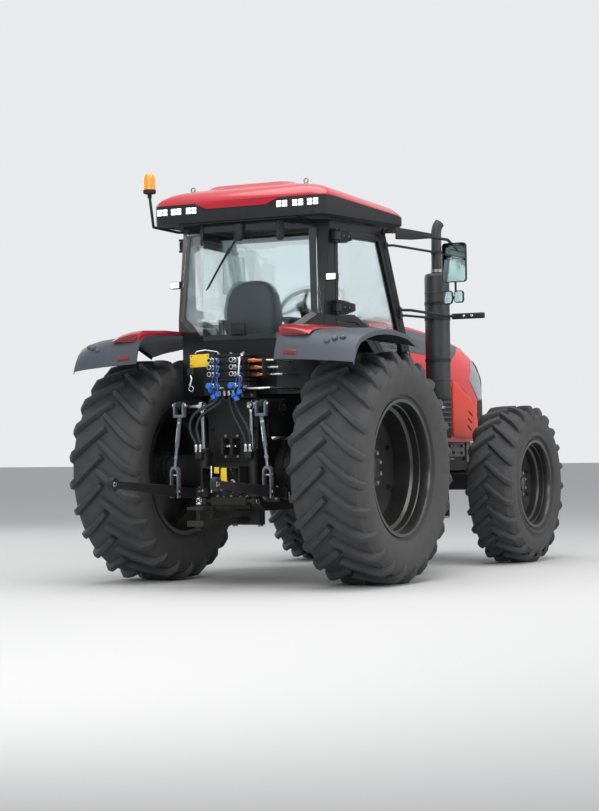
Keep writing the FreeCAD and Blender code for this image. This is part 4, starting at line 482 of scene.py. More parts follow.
# Castings: the gearbox, axle trumpets, front axle, knuckles and front frame are cast iron under black paint.
# Flanges with bolt rows, ribs and covers stand on them.
cast_black = finish("cast_black", (0.011, 0.011, 0.012), 0.55, drift=0.3, mottle=8, grain=150, bump=0.35,
                    dust=0.12, dust_top=1.2, Specular_IOR_Level=0.3)
dull_steel = finish("dull_steel", (0.30, 0.29, 0.28), 0.45, metal=0.85, mottle=30, bump=0.05)


def span(side, inner, outer):
    """The two ends of a piece across one side of the tractor, lower first."""
    return tuple(sorted((side * inner, side * outer)))


def paint(finish, *names):
    """Gives whole CAD pieces their finish."""
    for name in names:
        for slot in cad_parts[name].material_slots:
            slot.material = finish


paint(cast_black, "transmission", "engine", "front_axle", "knuckle_left", "knuckle_right", "front_frame",
      "front_weights", "hitch_brackets", "lift_arms", "lower_link_left", "lower_link_right", "drawbar",
      "steering_rod")
case = Form("gearbox_details", soft=2)
for side in (-1, 1):
    for x, low, high in ((-300, 1110, 1400), (-60, 620, 1085), (240, 610, 1085), (640, 690, 1085),
                         (940, 720, 1085)):
        case.block((x - 9, x + 9), span(side, 214, 236), (low, high), cast_black)
    case.turn((0, 0, 870), "y", [(side * 256, 196), (side * 286, 196), (side * 286, 168), (side * 256, 168)],
              cast_black, closed=True)
    case.bolts(around((0, side * 286, 870), "y", 182.3, 12), "y", side, 18, cast_black)
    case.bolts(around((0, side * 800, 870), "y", 138, 8), "y", -side, 18, cast_black)
    case.turn((-330, 0, 1335), "y", [(side * 215, 74), (side * 236, 74), (side * 236, 44), (side * 215, 44)],
              cast_black, steps=32, closed=True)
case.slab("x", [(-150, 930), (150, 930), (170, 1080), (150, 1120), (-150, 1120), (-170, 1080)], -446,
          -441, cast_black)
case.bolts([(-446, y, z) for y in (-185, 185) for z in (640, 760, 1000, 1180, 1340)], "x", -1, 20, cast_black)
case.turn((-440, 0, 775), "x", [(-14, 92), (0, 92), (0, 40), (-14, 40)], cast_black, closed=True)
case.bolts(around((-454, 0, 775), "x", 78, 6, 0.5), "x", -1, 14, dull_steel)
case.done("chassis", "black_casting")

# Front carrier: cast plates under grey paint on both frame rails, drilled for loader arms and bolted through.
# Ribs stand on them towards the nose, and the stack of weights ahead is clamped by a long rod.
carrier_grey = finish("carrier_grey", (0.24, 0.24, 0.23), 0.5, drift=0.2, mottle=10, grain=160, bump=0.3,
                      dust=0.2, dust_top=1.2)
# Black for holes, bores and slots that are not cut, painted shade inside them; it also draws a dark seam line
# along the hood's side panel.
painted_shade_and_seam = finish("painted_shade_and_seam", (0.004, 0.004, 0.004), 0.9, drift=0.1, bump=0)
front_plates = Form("front_carrier_plates", soft=3)
for side in (-1, 1):
    front_plates.block((2600, 3200), span(side, 298, 309), (918, 1046), carrier_grey)
    front_plates.block((2640, 2700), span(side, 309, 316), (926, 1040), carrier_grey)
    for x in (2770, 2860, 2950, 3040, 3130):
        for z in (952, 1012):
            bolted = x in (2860, 3130) or (x, z) == (2950, 952)
            if bolted:
                front_plates.bolts([(x, side * 309, z)], "y", side, 26, dull_steel)
            else:
                bush = [(side * 309, 13), (side * 312, 13), (side * 312, 19), (side * 309, 20)]
                front_plates.turn((x, 0, z), "y", bush, dull_steel, steps=24, closed=True)
                # the bush's bore is not cut: a thin black disc flush with the plate is painted shade
                front_plates.rod((x, side * 309, z), (x, side * 309.6, z), 13, painted_shade_and_seam, 20)
    for rear, front, low in ((3212, 3262, 880), (3276, 3336, 880), (3350, 3384, 900)):
        front_plates.block((rear, front), span(side, 298, 322), (low, 1044), carrier_grey)
    front_plates.bent([(2610, side * 318, 850), (2900, side * 320, 846), (3200, side * 316, 858),
                       (3290, side * 300, 872)], 9, 60, dull_steel, 12)
    front_plates.rod((3400, side * 200, 930), (3404, side * 200, 930), 30, cast_black, 20)
front_plates.done("chassis", "grey_casting")
clamp_rod = Form("weight_clamp_rod", soft=1)
clamp_rod.rod((3560, -336, 880), (3560, 336, 880), 14, dull_steel, 20)
for side in (-1, 1):
    clamp_rod.bolts([(3560, side * 330, 880)], "y", side, 40, dull_steel)
clamp_rod.done("chassis", "bright_steel")

# Cab: pressed and welded steel in satin black, with moulded covers over its fittings.
# The panes are tinted, and bonded to the frame behind a black printed border.
cab_black = finish("cab_black", (0.009, 0.010, 0.011), 0.36, drift=0.2, mottle=5, bump=0.03, dust=0.06,
                   Specular_IOR_Level=0.25)
moulded_black = finish("moulded_black", (0.014, 0.015, 0.016), 0.58, drift=0.2, mottle=12, grain=700,
                       bump=0.25, dust=0.08, Specular_IOR_Level=0.3)
seal_rubber = finish("seal_rubber", (0.012, 0.012, 0.013), 0.7, drift=0.2, mottle=20, bump=0.1)
tinted_pane = finish("tinted_pane", (0.62, 0.84, 0.86), 0.02, drift=0.03, mottle=1.5, bump=0, IOR=1.2,
                     Transmission_Weight=1.0, Alpha=0.3)
printed_border = finish("printed_border", (0.010, 0.011, 0.012), 0.12, drift=0.15, mottle=10, bump=0)
paint(cab_black, "cab_frame", "door_left", "door_right")
paint(tinted_pane, "cab_glass", "door_glass_left", "door_glass_right")

# Roof: a moulded red shell over a black band, with a raised middle and a red panel between the rear lamp
# recesses. Two lifting eyes are bolted through it, and six work lamps sit in the recesses.
roof_red = finish("roof_red", (0.46, 0.008, 0.022), 0.26, drift=0.07, mottle=2.5, grain=90, bump=0.02,
                  Coat_Weight=0.6, Coat_Roughness=0.08)
lamp_white = finish("lamp_white", (0.9, 0.93, 1.0), 0.2, drift=0.02, bump=0,
                    Emission_Color=(0.9, 0.95, 1.0, 1), Emission_Strength=2.2)


def roof_outline(rear, front, half, corner, up, droop, bow=2.4):
    """A ring round the roof, its corners cut in curves; level at the rear, it droops towards the front."""
    edge = []
    for x, y, turn in ((front, half, 0), (rear, half, 1), (rear, -half, 2), (front, -half, 3)):
        cx = x - corner * (1.7 if turn in (0, 3) else 1) * (1 if x > 400 else -1)
        cy = y - corner * (1 if y > 0 else -1)
        for k in range(6):
            a = math.pi / 2 * (turn + k / 5)
            wide = corner * (1.7 if turn in (0, 3) else 1)
            edge.append((cx + wide * math.cos(a), cy + corner * math.sin(a)))
    return [(x, y, up - droop * max(0, (x - rear) / (front - rear)) ** bow) for x, y in edge]


shell = Form("roof_shell")
band = [roof_outline(-318, 1052, 728, 80, 2762, 0), roof_outline(-350, 1086, 760, 100, 2772, -26, 1.2),
        roof_outline(-353, 1089, 763, 105, 2800, 0), roof_outline(-353, 1089, 763, 105, 2915, 66)]
shell.loft([roof_outline(-290, 1030, 700, 80, 2775, 0)] + band + [
    roof_outline(-300, 1060, 730, 90, 2925, 70)], moulded_black)
crown = [
    roof_outline(-351, 1086, 762, 105, 2914, 70), roof_outline(-355, 1090, 765, 108, 2920, 73),
    roof_outline(-353, 1086, 762, 108, 2932, 74), roof_outline(-332, 1050, 728, 116, 2970, 78),
    roof_outline(-300, 985, 672, 120, 2998, 80), roof_outline(-262, 900, 606, 120, 3016, 72),
    roof_outline(-222, 830, 520, 120, 3029, 60), roof_outline(-190, 780, 412, 100, 3036, 48),
    roof_outline(-182, 770, 392, 96, 3040, 46), roof_outline(-160, 735, 358, 90, 3060, 44),
    roof_outline(-140, 700, 330, 84, 3067, 42), roof_outline(-60, 560, 220, 60, 3070, 34)]
shell.loft(crown, roof_red)
panel_half = [(-353, 372, 2926), (-357, 372, 2924), (-357, 350, 2905), (-356, 268, 2872), (-340, 260, 2866)]
panel_rear = [(x, -y, z) for x, y, z in panel_half] + panel_half[::-1]
shell.loft([panel_rear, [(-300, y, z) for x, y, z in panel_rear]], roof_red, soft=3)
for y in (-500, 500):
    shell.turn((-150, y, 3052), "x", [(-5, 21), (5, 21), (5, 13), (-5, 13)], dull_steel, steps=24,
               closed=True, soft=1.5)
    shell.rod((-150, y, 3018), (-150, y, 3034), 16, dull_steel, 16)
shell.block((-340, -150), (-520, 520), (2757, 2766), moulded_black)
for y, wide in ((-130, 26), (150, 30)):
    shell.block((-352, -338), (y - wide, y + wide), (2788, 2806), moulded_black, soft=2)
shell.done("chassis", "red_paint", ("roof",), smooth=34)

work_lamps = Form("work_lamps", soft=2)
for y in (-660, -534, -398, 398, 534, 660):
    work_lamps.block((-352, -322), (y - 50, y + 50), (2832, 2896), moulded_black, soft=4)
    for dy in (-25, 25):
        for dz in (-13, 13):
            work_lamps.block((-355, -350), (y + dy - 20, y + dy + 20), (2866 + dz - 10, 2866 + dz + 10),
                             lamp_white, soft=2)
work_lamps.done("chassis", "lamp_lens", ("lamps",))

# Beacon: an amber polycarbonate dome on a black base, on a bent pipe clamped to the left rear pillar.
amber = finish("amber_dome", (0.92, 0.26, 0.01), 0.18, drift=0.1, mottle=30, bump=0, Coat_Weight=0.4,
               Subsurface_Weight=0.2, Emission_Color=(0.95, 0.25, 0.01, 1), Emission_Strength=0.25)
beacon = Form("beacon_lamp")
beacon.bent([(-15, 652, 2742), (-15, 726, 2742), (-262, 832, 2742), (-262, 832, 3012)], 11, 34, moulded_black,
            16)
beacon.collar((-262, 832, 0), (0, 0, 1), ((3004, 12), (3004, 17), (3030, 17), (3034, 40), (3040, 50),
                                          (3064, 51), (3068, 47)), moulded_black, 32, soft=1)
beacon.collar((-262, 832, 0), (0, 0, 1), ((3068, 47), (3110, 46.5), (3150, 45), (3176, 40), (3190, 30),
                                          (3197, 17), (3199, 4)), amber, 32)
for foot, top in zip(around((-262, 832, 3072), "z", 46, 16), around((-262, 832, 3152), "z", 44.5, 16)):
    beacon.rod(foot, top, 2.2, amber, 6)
beacon.block((-45, 15), (648, 662), (2712, 2772), moulded_black, soft=3)
beacon.done("chassis", "lamp_lens")

# Door fittings: moulded, ribbed covers over the hinges, a pull handle with its push button, and the pane's
# printed border. The cab's sides close in towards the rear, so they are drawn square and turned about the
# front corner.
toe_in = math.atan((740 - 648) / (1240 + 60))


def on_side(side, x, y, z):
    """A place on one side of the cab, given as if that side ran straight."""
    dx, dy = x - 1240, y - 740
    return (1240 + dx * math.cos(toe_in) - dy * math.sin(toe_in),
            side * (740 + dx * math.sin(toe_in) + dy * math.cos(toe_in)), z)


def side_box(form, side, x, y, z, finish, soft=None):
    """A box along the cab's side; its height can differ at its two ends."""
    ends = z if isinstance(z[0], tuple) else (z, z)
    form.loft([[on_side(side, x[0], a, ends[0][0]), on_side(side, x[1], a, ends[1][0]),
                on_side(side, x[1], a, ends[1][1]), on_side(side, x[0], a, ends[0][1])] for a in y],
              finish, soft=soft)


for side, hand in ((1, "left"), (-1, "right")):
    fittings = Form("door_fittings_" + hand, soft=3)
    for high, reach in ((2635, 232), (2090, 262)):
        side_box(fittings, side, (12, 130), (741, 786), ((high - 52, high + 60), (high - 44, high + 52)),
                 moulded_black, 6)
        side_box(fittings, side, (128, reach), (741, 768), ((high - 44, high + 52), (high - 16, high + 40)),
                 moulded_black, 6)
        for k in range(5):
            side_box(fittings, side, (30 + 22 * k, 38 + 22 * k), (785, 790), (high - 34, high + 42),
                     moulded_black, 1.5)
        for k in range(3):
            side_box(fittings, side, (146 + 24 * k, 153 + 24 * k), (767, 772),
                     (high - 26 + 4 * k, high + 34 - 3 * k), moulded_black, 1.5)
        fittings.bolts([on_side(side, 60 + 70 * k, 786, high + 4) for k in range(2)], "y", side,
                       11, dull_steel)
    fittings.loft([[on_side(side, x, y, z) for x, z in ((1088, 1640), (1116, 1640), (1058, 1790),
                                                        (1030, 1790))] for y in (757, 776)], moulded_black,
                  soft=6)
    for x, z in ((1096, 1656), (1048, 1774)):
        fittings.rod(on_side(side, x, 739, z), on_side(side, x, 760, z), 10, moulded_black, 16)
    fittings.rod(on_side(side, 1052, 775, 1776), on_side(side, 1052, 783, 1776), 9, dull_steel, 20, soft=1)
    glass_line = [(52, 2034), (302, 2034), (530, 1946), (742, 1766), (897, 1558), (984, 1366), (1030, 1230),
                  (1122, 1228), (1122, 1572), (672, 2646), (54, 2646)]
    inner_line = [(66, 2048), (308, 2050), (540, 1958), (756, 1776), (911, 1566), (998, 1373), (1042, 1244),
                  (1108, 1242), (1108, 1570), (662, 2632), (68, 2632)]
    for a, b, c, d in zip(glass_line, glass_line[1:] + glass_line[:1], inner_line[1:] + inner_line[:1],
                          inner_line):
        fittings.loft([[on_side(side, x, y, z) for x, z in (a, b, c, d)] for y in (723.6, 726)],
                      printed_border, soft=0)
    fittings.done("door_%s_body" % hand, "black_paint")


# Rear window fittings: two hinge tongues at its top edge, a wiper below its motor's cover, and a latch in the
# middle below. The pane has a printed border, and a small work lamp stands out from each corner pillar.
def on_rear_pane(y, z, out=0.0):
    """A place on the bowed rear window, standing out behind the glass."""
    part = min(max((z - 2040) / 720, 0), 1)
    middle = -325 + 35 * part
    corner = -165 + 105 * part
    corner_half = 740 - 0.07077 * (1240 - corner)
    wing = max(0, (abs(y) - 320) / (corner_half - 320))
    return (middle + wing * (corner - middle) - 6.3 - out, y, z)


rear_fittings = Form("rear_window_fittings", soft=2)
tongue = ((1, 2618), (0.7, 2602), (0, 2595), (-0.7, 2602), (-1, 2618), (-1, 2758), (1, 2758))
for y in (-345, 345):
    rear_fittings.loft([[on_rear_pane(y + half * share, z, out) for share, z in tongue]
                        for half, out in ((24, -1), (24, 8), (16, 16))], moulded_black, soft=2)
    rear_fittings.bolts([on_rear_pane(y, z, 16) for z in (2630, 2690)], "x", -1, 12, moulded_black)
motor_cover = ((1, 2628), (0.5, 2612), (-0.5, 2612), (-1, 2628), (-1, 2742), (1, 2742))
rear_fittings.loft([[on_rear_pane(half * share, z, out) for share, z in motor_cover]
                    for half, out in ((38, -1), (38, 26), (28, 38))], moulded_black, soft=3)
pane_edge = ((-565, 2736), (-320, 2736), (320, 2736), (565, 2736), (602, 2035), (364, 1860), (320, 1860),
             (-320, 1860), (-364, 1860), (-602, 2035))
border_line = ((-522, 2690), (-320, 2690), (320, 2690), (522, 2690), (558, 2056), (348, 1902), (320, 1902),
               (-320, 1902), (-348, 1902), (-558, 2056))
for k in range(10):
    edge, line = (pane_edge[k - 1], pane_edge[k]), (border_line[k], border_line[k - 1])
    rear_fittings.loft([[on_rear_pane(y, z, out) for y, z in edge + line] for out in (-0.5, 1.2)],
                       printed_border, soft=0)
pivot, wiped = Vector(on_rear_pane(0, 2640, 34)), Vector(on_rear_pane(276, 2247, 22))
rear_fittings.rings([(pivot, 9), (pivot.lerp(wiped, 0.3), 6), (pivot.lerp(wiped, 0.5), 4.5)], moulded_black,
                    12)
rear_fittings.rod(on_rear_pane(80, 2560, 20), wiped, 6, moulded_black, 8)
blade_ends = [Vector(on_rear_pane(70, 2572, 12)), Vector(on_rear_pane(270, 2256, 14))]
rear_fittings.loft([[end + Vector(corner) for corner in ((0, 0, 0), (12, 0, 0), (12, 3, 3), (0, 3, 3))]
                    for end in blade_ends], seal_rubber, soft=0)
rear_fittings.block((-352, -332), (-60, 60), (1890, 1990), moulded_black, soft=6)
rear_fittings.bent([(-350, -40, 1905), (-380, -40, 1905), (-380, 40, 1905), (-350, 40, 1905)], 7, 12,
                   moulded_black, 12)
for y in (-300, 300):
    rear_fittings.rings([(on_rear_pane(y, 1905, out), r) for out, r in ((-1, 13), (5, 13), (8, 9))],
                        moulded_black, 20)
for side in (-1, 1):
    x, y, z = on_side(side, -112, 741, 2318)
    rear_fittings.block((x - 26, x + 24), tuple(sorted((y - side * 6, y + side * 90))), (2290, 2346),
                        moulded_black, soft=7)
    rear_fittings.block((x - 30, x - 24), tuple(sorted((y + side * 8, y + side * 82))), (2297, 2339),
                        lamp_white, soft=2)
rear_fittings.done("chassis", "black_plastic")

# Hood: pressed steel panels in orange-red, with a dark panel along each shoulder and louvres in the side.
# The nose is dark plastic round the headlamps, and the whole shell lifts on two hinges at the cowl.
hood_red = finish("hood_red", (0.72, 0.010, 0.016), 0.30, drift=0.06, mottle=2.0, grain=90, bump=0.02,
                  Coat_Weight=0.22, Coat_Roughness=0.06, Specular_IOR_Level=0.3, dust=0.04, dust_top=1.6)
side_red = finish("side_red", (0.88, 0.040, 0.006), 0.34, drift=0.05, mottle=2.0, grain=90, bump=0.02,
                  Coat_Weight=0.12, Specular_IOR_Level=0.25, dust=0.05, dust_top=1.4)
nose_grey = finish("nose_grey", (0.30, 0.31, 0.33), 0.28, drift=0.08, mottle=3, grain=200, bump=0.03,
                   Coat_Weight=0.3)
slate_panel = finish("slate_panel", (0.055, 0.062, 0.075), 0.42, drift=0.12, mottle=4, grain=500, bump=0.08)
clear_lens = finish("clear_lens", (0.75, 0.78, 0.80), 0.08, drift=0.03, mottle=60, bump=0, Coat_Weight=0.5)
hood_stations = (
    # along, then half width and height of the low edge, the waist, the shoulder and the top
    (1330, 400, 1330, 404, 1560, 400, 1800, 250, 2075),
    (1600, 404, 1250, 408, 1560, 402, 1800, 254, 2069),
    (2100, 410, 1130, 412, 1550, 405, 1790, 260, 2050),
    (2500, 411, 1066, 413, 1520, 405, 1762, 266, 2014),
    (2680, 410, 1050, 413, 1500, 405, 1740, 270, 1985),
    (2950, 409, 1050, 411, 1470, 402, 1716, 273, 1948),
    (3200, 405, 1050, 407, 1430, 395, 1690, 275, 1900),
    (3330, 396, 1080, 396, 1400, 384, 1666, 273, 1852),
    (3420, 385, 1120, 384, 1380, 370, 1640, 270, 1800),
    (3470, 368, 1200, 368, 1400, 356, 1600, 266, 1745),
    (3500, 350, 1310, 350, 1430, 340, 1568, 256, 1690))


def hood_line(station, skin=0):
    """One cross-section from the right lower edge over the top to the left, with the top gently crowned."""
    x, a, za, b, zb, c, zc, d, zd = station
    half = [(a, za), ((a + b) / 2 + 1, (za + zb) / 2), (b, zb), ((b + c) / 2 + 3, (zb + zc) / 2), (c, zc),
            ((c + d) / 2 + 14, (zc + zd) / 2 + 16), (d, zd), (d * 0.5, zd + 8), (0, zd + 10)]
    right = [(x, -(y - skin), z - (skin if i > 4 else 0)) for i, (y, z) in enumerate(half)]
    return right + [(x, -y, z) for x, y, z in right[-2::-1]]


def on_hood(x, z, side, out):
    """A place on the hood's side at a height, standing out from its skin."""
    for low, high in zip(hood_stations, hood_stations[1:]):
        if x <= high[0]:
            break
    share = min(max((x - low[0]) / (high[0] - low[0]), 0), 1)
    near, far = hood_line(low), hood_line(high)
    line = [(-(a[1] + (b[1] - a[1]) * share), a[2] + (b[2] - a[2]) * share)
            for a, b in zip(near[:9], far[:9])]
    z = min(max(z, line[0][1]), line[-1][1] - 1)
    for (y0, z0), (y1, z1) in zip(line, line[1:]):
        if z <= z1:
            break
    part = (z - z0) / (z1 - z0)
    way = Vector((0, y1 - y0, z1 - z0)).normalized()
    return Vector((x, side * (y0 + (y1 - y0) * part + way.z * out), z - way.y * out))


def hood_panel(form, side, strips, out, deep, finish, soft=1.2):
    """A panel that lies on the hood: strips of (along, lower height, upper height)."""
    rows = []
    fine = [strips[0]]
    for (x0, low0, high0), (x1, low1, high1) in zip(strips, strips[1:]):
        steps = max(1, round((x1 - x0) / 45))
        fine += [(x0 + (x1 - x0) * k / steps, low0 + (low1 - low0) * k / steps,
                  high0 + (high1 - high0) * k / steps) for k in range(1, steps + 1)]
    for x, low, high in fine:
        heights = [low + (high - low) * k / 14 for k in range(15)]
        rows.append([on_hood(x, z, side, out)
                     for z in heights] + [on_hood(x, z, side, -deep) for z in heights[::-1]])
    form.loft(rows, finish, soft=soft)


hood_form = Form("hood_panels")
hood_form.loft([hood_line(station) + hood_line(station, 12)[::-1] for station in hood_stations], hood_red)
for side in (-1, 1):
    # the dark panel on the shoulder, the engine's black side screen, and the lower panel with louvre slots
    hood_panel(hood_form, side, [(1600, 1822, 2040), (1900, 1816, 2032), (2200, 1806, 2020),
                                 (2500, 1794, 1992), (2700, 1782, 1958), (2780, 1788, 1945),
                                 (2900, 1838, 1928), (3000, 1878, 1914), (3070, 1902, 1908)], 4, 3,
               slate_panel)
    hood_panel(hood_form, side, [(1420, 1350, 1560), (1600, 1282, 1590), (2100, 1160, 1588),
                                 (2500, 1098, 1574), (2660, 1084, 1566), (2690, 1120, 1540)], 3, 3,
               moulded_black)
    for k in range(9):
        high = 1540 - 44 * k
        first = max(1440, 1440 + (1380 - high) * 3.1)
        hood_panel(hood_form, side, [(x, high - 12, high)
                                     for x in (first, max(1700, first + 40), 2100, 2500, 2664)], 9, 0,
                   slate_panel, soft=2)
    hood_panel(hood_form, side, [(2704, 1100, 1598), (2800, 1086, 1572), (2977, 1076, 1500),
                                 (3100, 1076, 1444), (3199, 1076, 1386), (3250, 1082, 1330),
                                 (3276, 1130, 1262), (3282, 1190, 1220)], 6, 3, side_red, soft=2.5)
    hood_panel(hood_form, side, [(2700, 1600, 1606), (2977, 1504, 1510), (3205, 1386, 1394),
                                 (3290, 1240, 1290), (3294, 1200, 1230)], 1.5, 1, painted_shade_and_seam, soft=0)
    # three louvre slots, not cut: black plates standing on the skin as painted shade
    for k in range(3):
        x, z = 3104 - 12 * k, 1304 - 65 * k
        corners = [(x - 48, z + 30), (x + 44, z - 14), (x + 44, z - 30), (x - 48, z + 12)]
        hood_form.loft([[on_hood(a, b, side, out) for a, b in corners] for out in (2, 7.5)],
                       painted_shade_and_seam, soft=1)
    # the nose's grey panel behind its seam, and the black surround of the headlamp
    hood_panel(hood_form, side, [(3100, 1598, 1620), (3160, 1552, 1690), (3205, 1514, 1754),
                                 (3260, 1468, 1790), (3305, 1432, 1818), (3350, 1428, 1838),
                                 (3385, 1428, 1822), (3420, 1432, 1790), (3460, 1442, 1748),
                                 (3496, 1452, 1690)], 4, 3, nose_grey, soft=2)
    hood_panel(hood_form, side, [(3288, 1075, 1240), (3300, 1078, 1426), (3330, 1090, 1426),
                                 (3420, 1136, 1428), (3470, 1214, 1440), (3497, 1320, 1450)], 4, 3,
               moulded_black, soft=2)
    hood_panel(hood_form, side, [(3345, 1764, 1778), (3372, 1700, 1790), (3405, 1640, 1772),
                                 (3440, 1592, 1742), (3470, 1562, 1700), (3492, 1540, 1660)], 8, 1,
               moulded_black, soft=1.5)
    hood_panel(hood_form, side, [(3412, 1664, 1740), (3440, 1622, 1716), (3470, 1590, 1672),
                                 (3486, 1574, 1640)], 12, 0, clear_lens, soft=2)
for side in (-1, 1):
    hood_form.rod((1332, side * 150 - 30, 2092), (1332, side * 150 + 30, 2092), 13, moulded_black, soft=1)
    hood_form.block((1332, 1366), (side * 150 - 30, side * 150 + 30), (2063, 2092), moulded_black, soft=2)
hood_form.done("hood_body", "red_paint", ("hood",), smooth=34)

nose = Form("nose_and_headlamps")
for side in (-1, 1):
    nose.loft([[(3424, side * 374, 1640), (3424, side * 384, 1500), (3424, side * 300, 1500),
                (3424, side * 270, 1790)], [(3474, side * 358, 1600), (3474, side * 368, 1500),
                                            (3474, side * 290, 1500), (3474, side * 262, 1742)],
               [(3503, side * 340, 1568), (3503, side * 348, 1480), (3503, side * 280, 1480),
                (3503, side * 250, 1692)]], slate_panel, soft=3)
    nose.loft([[(3496, side * 335, 1560), (3496, side * 340, 1505), (3496, side * 200, 1520),
                (3496, side * 200, 1600)], [(3506, side * 330, 1556), (3506, side * 335, 1510),
                                            (3506, side * 204, 1524), (3506, side * 204, 1596)]],
              clear_lens, soft=2)
for k in range(11):
    z = 1180 + 46 * k
    nose.loft([[(3390, y, z), (3408, y, z - 4), (3410, y, z + 4), (3396, y, z + 12)] for y in (-356, 356)],
              moulded_black)
for y in (-360, -180, 0, 180, 344):
    nose.block((3384, 3398), (y, y + 16), (1140, 1660), moulded_black, soft=2)
nose.loft([[(3414, y, 1200), (3419, y, 1190), (3419, y, 1650), (3414, y, 1660)] for y in (-40, 40)],
          slate_panel, soft=2)
nose.done("hood_body", "black_plastic", ("grille",))
paint(moulded_black, "cowl")

# Rear fenders: moulded wings in grey-blue plastic over each tyre, with a rolled edge and an inner lip.
# A red ridge along the cab side holds the tail lamp; three push buttons for the hitch sit on the rear bend.
fender_grey = finish("fender_grey", (0.050, 0.058, 0.075), 0.5, drift=0.1, mottle=3, grain=600, bump=0.1)
fender_red = finish("fender_red", (0.36, 0.010, 0.022), 0.3, drift=0.06, mottle=3, bump=0.02, Coat_Weight=0.4)
lens_red = finish("lens_red", (0.17, 0.003, 0.006), 0.12, drift=0.1, mottle=80, bump=0, Coat_Weight=0.5)
button_grey = finish("button_grey", (0.085, 0.095, 0.115), 0.4, drift=0.08, mottle=20, bump=0.02)
wing_lines = (
    # across, then the corners from the rear lower edge over the top to the front lower edge
    (591, ((-862, 1680), (-836, 1768), (-800, 1850), (-730, 1888), (-640, 1902), (-420, 1915), (-200, 1922),
           (0, 1920), (120, 1915), (215, 1900))),
    (680, ((-860, 1676), (-834, 1766), (-796, 1846), (-726, 1885), (-630, 1901), (-420, 1914), (-200, 1922),
           (0, 1920), (130, 1913), (240, 1882))),
    (900, ((-850, 1665), (-822, 1758), (-785, 1835), (-712, 1876), (-600, 1896), (-420, 1910), (-200, 1920),
           (0, 1917), (150, 1905), (300, 1840))),
    (1080, ((-826, 1652), (-800, 1730), (-764, 1802), (-700, 1848), (-585, 1880), (-420, 1902), (-230, 1912),
            (-30, 1908), (130, 1890), (315, 1815))),
    (1170, ((-806, 1643), (-784, 1704), (-745, 1776), (-686, 1826), (-570, 1862), (-415, 1890), (-245, 1901),
            (-50, 1897), (122, 1878), (326, 1794))),
    (1200, ((-799, 1640), (-778, 1694), (-736, 1764), (-680, 1812), (-564, 1850), (-413, 1879), (-250, 1892),
            (-56, 1888), (118, 1868), (328, 1788))),
    (1204, ((-796, 1622), (-772, 1676), (-732, 1742), (-676, 1788), (-560, 1826), (-412, 1854), (-250, 1866),
            (-58, 1862), (112, 1843), (322, 1768))))


def under(line, thick):
    """The same line of corners, moved to the inside of the wing."""
    moved = []
    for i, (x, z) in enumerate(line):
        x0, z0 = line[max(i - 1, 0)]
        x1, z1 = line[min(i + 1, len(line) - 1)]
        length = math.hypot(x1 - x0, z1 - z0)
        moved.append((x + thick * (z1 - z0) / length, z - thick * (x1 - x0) / length))
    return moved


wings = Form("fender_wings")
sections = [[(x, y, z) for x, z in list(line) + under(line, 9)[::-1]] for y, line in wing_lines]
wings.loft(sections, fender_grey)


def on_wing(across, share, out):
    """A place on the wing's rear face between its lower edge and its top bend, standing out by a distance."""
    (y0, low), (y1, high) = wing_lines[0], wing_lines[2]
    part = (across - y0) / (y1 - y0)
    (xa, za), (xb, zb) = [[low[i][k] + part * (high[i][k] - low[i][k]) for k in (0, 1)] for i in (0, 2)]
    length = math.hypot(xb - xa, zb - za)
    return (xa + share * (xb - xa) - out * (zb - za) / length, across,
            za + share * (zb - za) + out * (xb - xa) / length)


ridge = []
for y, share in ((600, 1.0), (690, 0.88), (790, 0.5), (850, 0.08)):
    top = [(x, y, z + share * rise) for x, z, rise in ((-797, 1850, 62), (-736, 1882, 54), (-640, 1900, 40),
                                                       (-420, 1913, 36), (-200, 1921, 26), (40, 1917, 8))]
    ridge.append([(x, y, z) for x, z in ((40, 1912), (-200, 1916), (-420, 1908), (-640, 1894), (-726, 1878),
                                         (-792, 1848))] + top)
wings.loft(ridge, fender_red, soft=5)
wings.loft([[(-808, y, low), (-786, y, low), (-780, y, high), (-802, y, high)]
            for y, low, high in ((626, 1860, 1904), (740, 1857, 1893), (826, 1852, 1866))], lens_red, soft=4)
wings.loft([[on_wing(y, share, out) for share, out in ((0.20, -4), (0.38, -4), (0.38, 10), (0.20, 10))]
            for y in (662, 766)], lens_red, soft=3)
for x, y, z, back, up in ((-783, 985, 1800, 0.9, 0.43), (-764, 1040, 1818, 0.8, 0.6),
                          (-736, 1090, 1826, 0.66, 0.75)):
    for radius, out, colour in ((23, 7, fender_grey), (16, 11, button_grey)):
        wings.rod((x + 8 * back, y, z - 8 * up), (x - out * back, y, z + out * up), radius,
                  colour, 24, soft=2)
wings.mirror()
wings.done("chassis", "fender_plastic", ("fenders",), smooth=36)

# Exhaust: a rolled steel muffler under matt black heat-proof paint, clamped by straps to brackets on the cab.
# A cast elbow feeds it from the engine, and the pipe above ends in a curved tip, cut level.
stack_black = finish("stack_black", (0.022, 0.022, 0.023), 0.5, drift=0.3, mottle=7, grain=180,
                     bump=0.2, dust=0.05)
# Real soot lines the exhaust tip; the same black fills the lift rod forks' slots as painted shade.
soot_and_painted_shade = finish("soot_and_painted_shade", (0.008, 0.008, 0.008), 0.95, drift=0.2, bump=0.2)
stack = Form("exhaust_stack")
upward, stack_foot = (0, 0, 1), (1600, -780, 0)
stack.collar(stack_foot, upward, ((1392, 40), (1396, 58), (1402, 84), (1416, 98), (1432, 103), (1560, 103),
                                  (1562, 105), (1572, 105), (1574, 103), (2280, 103), (2282, 105),
                                  (2292, 105), (2294, 103), (2418, 103), (2436, 97), (2446, 82), (2450, 60),
                                  (2452, 46)), stack_black, 48)
stack.bent([(1600, -780, 1400), (1600, -780, 1180), (1600, -232, 1180)], 40, 85, stack_black, 24)
stack.collar(stack_foot, upward, ((1330, 41), (1332, 52), (1352, 52), (1354, 41)), dull_steel, 32)
tip_line = [((1600, -780, 2448), 44), ((1600, -780, 2700), 42), ((1600, -780, 2780), 42)]
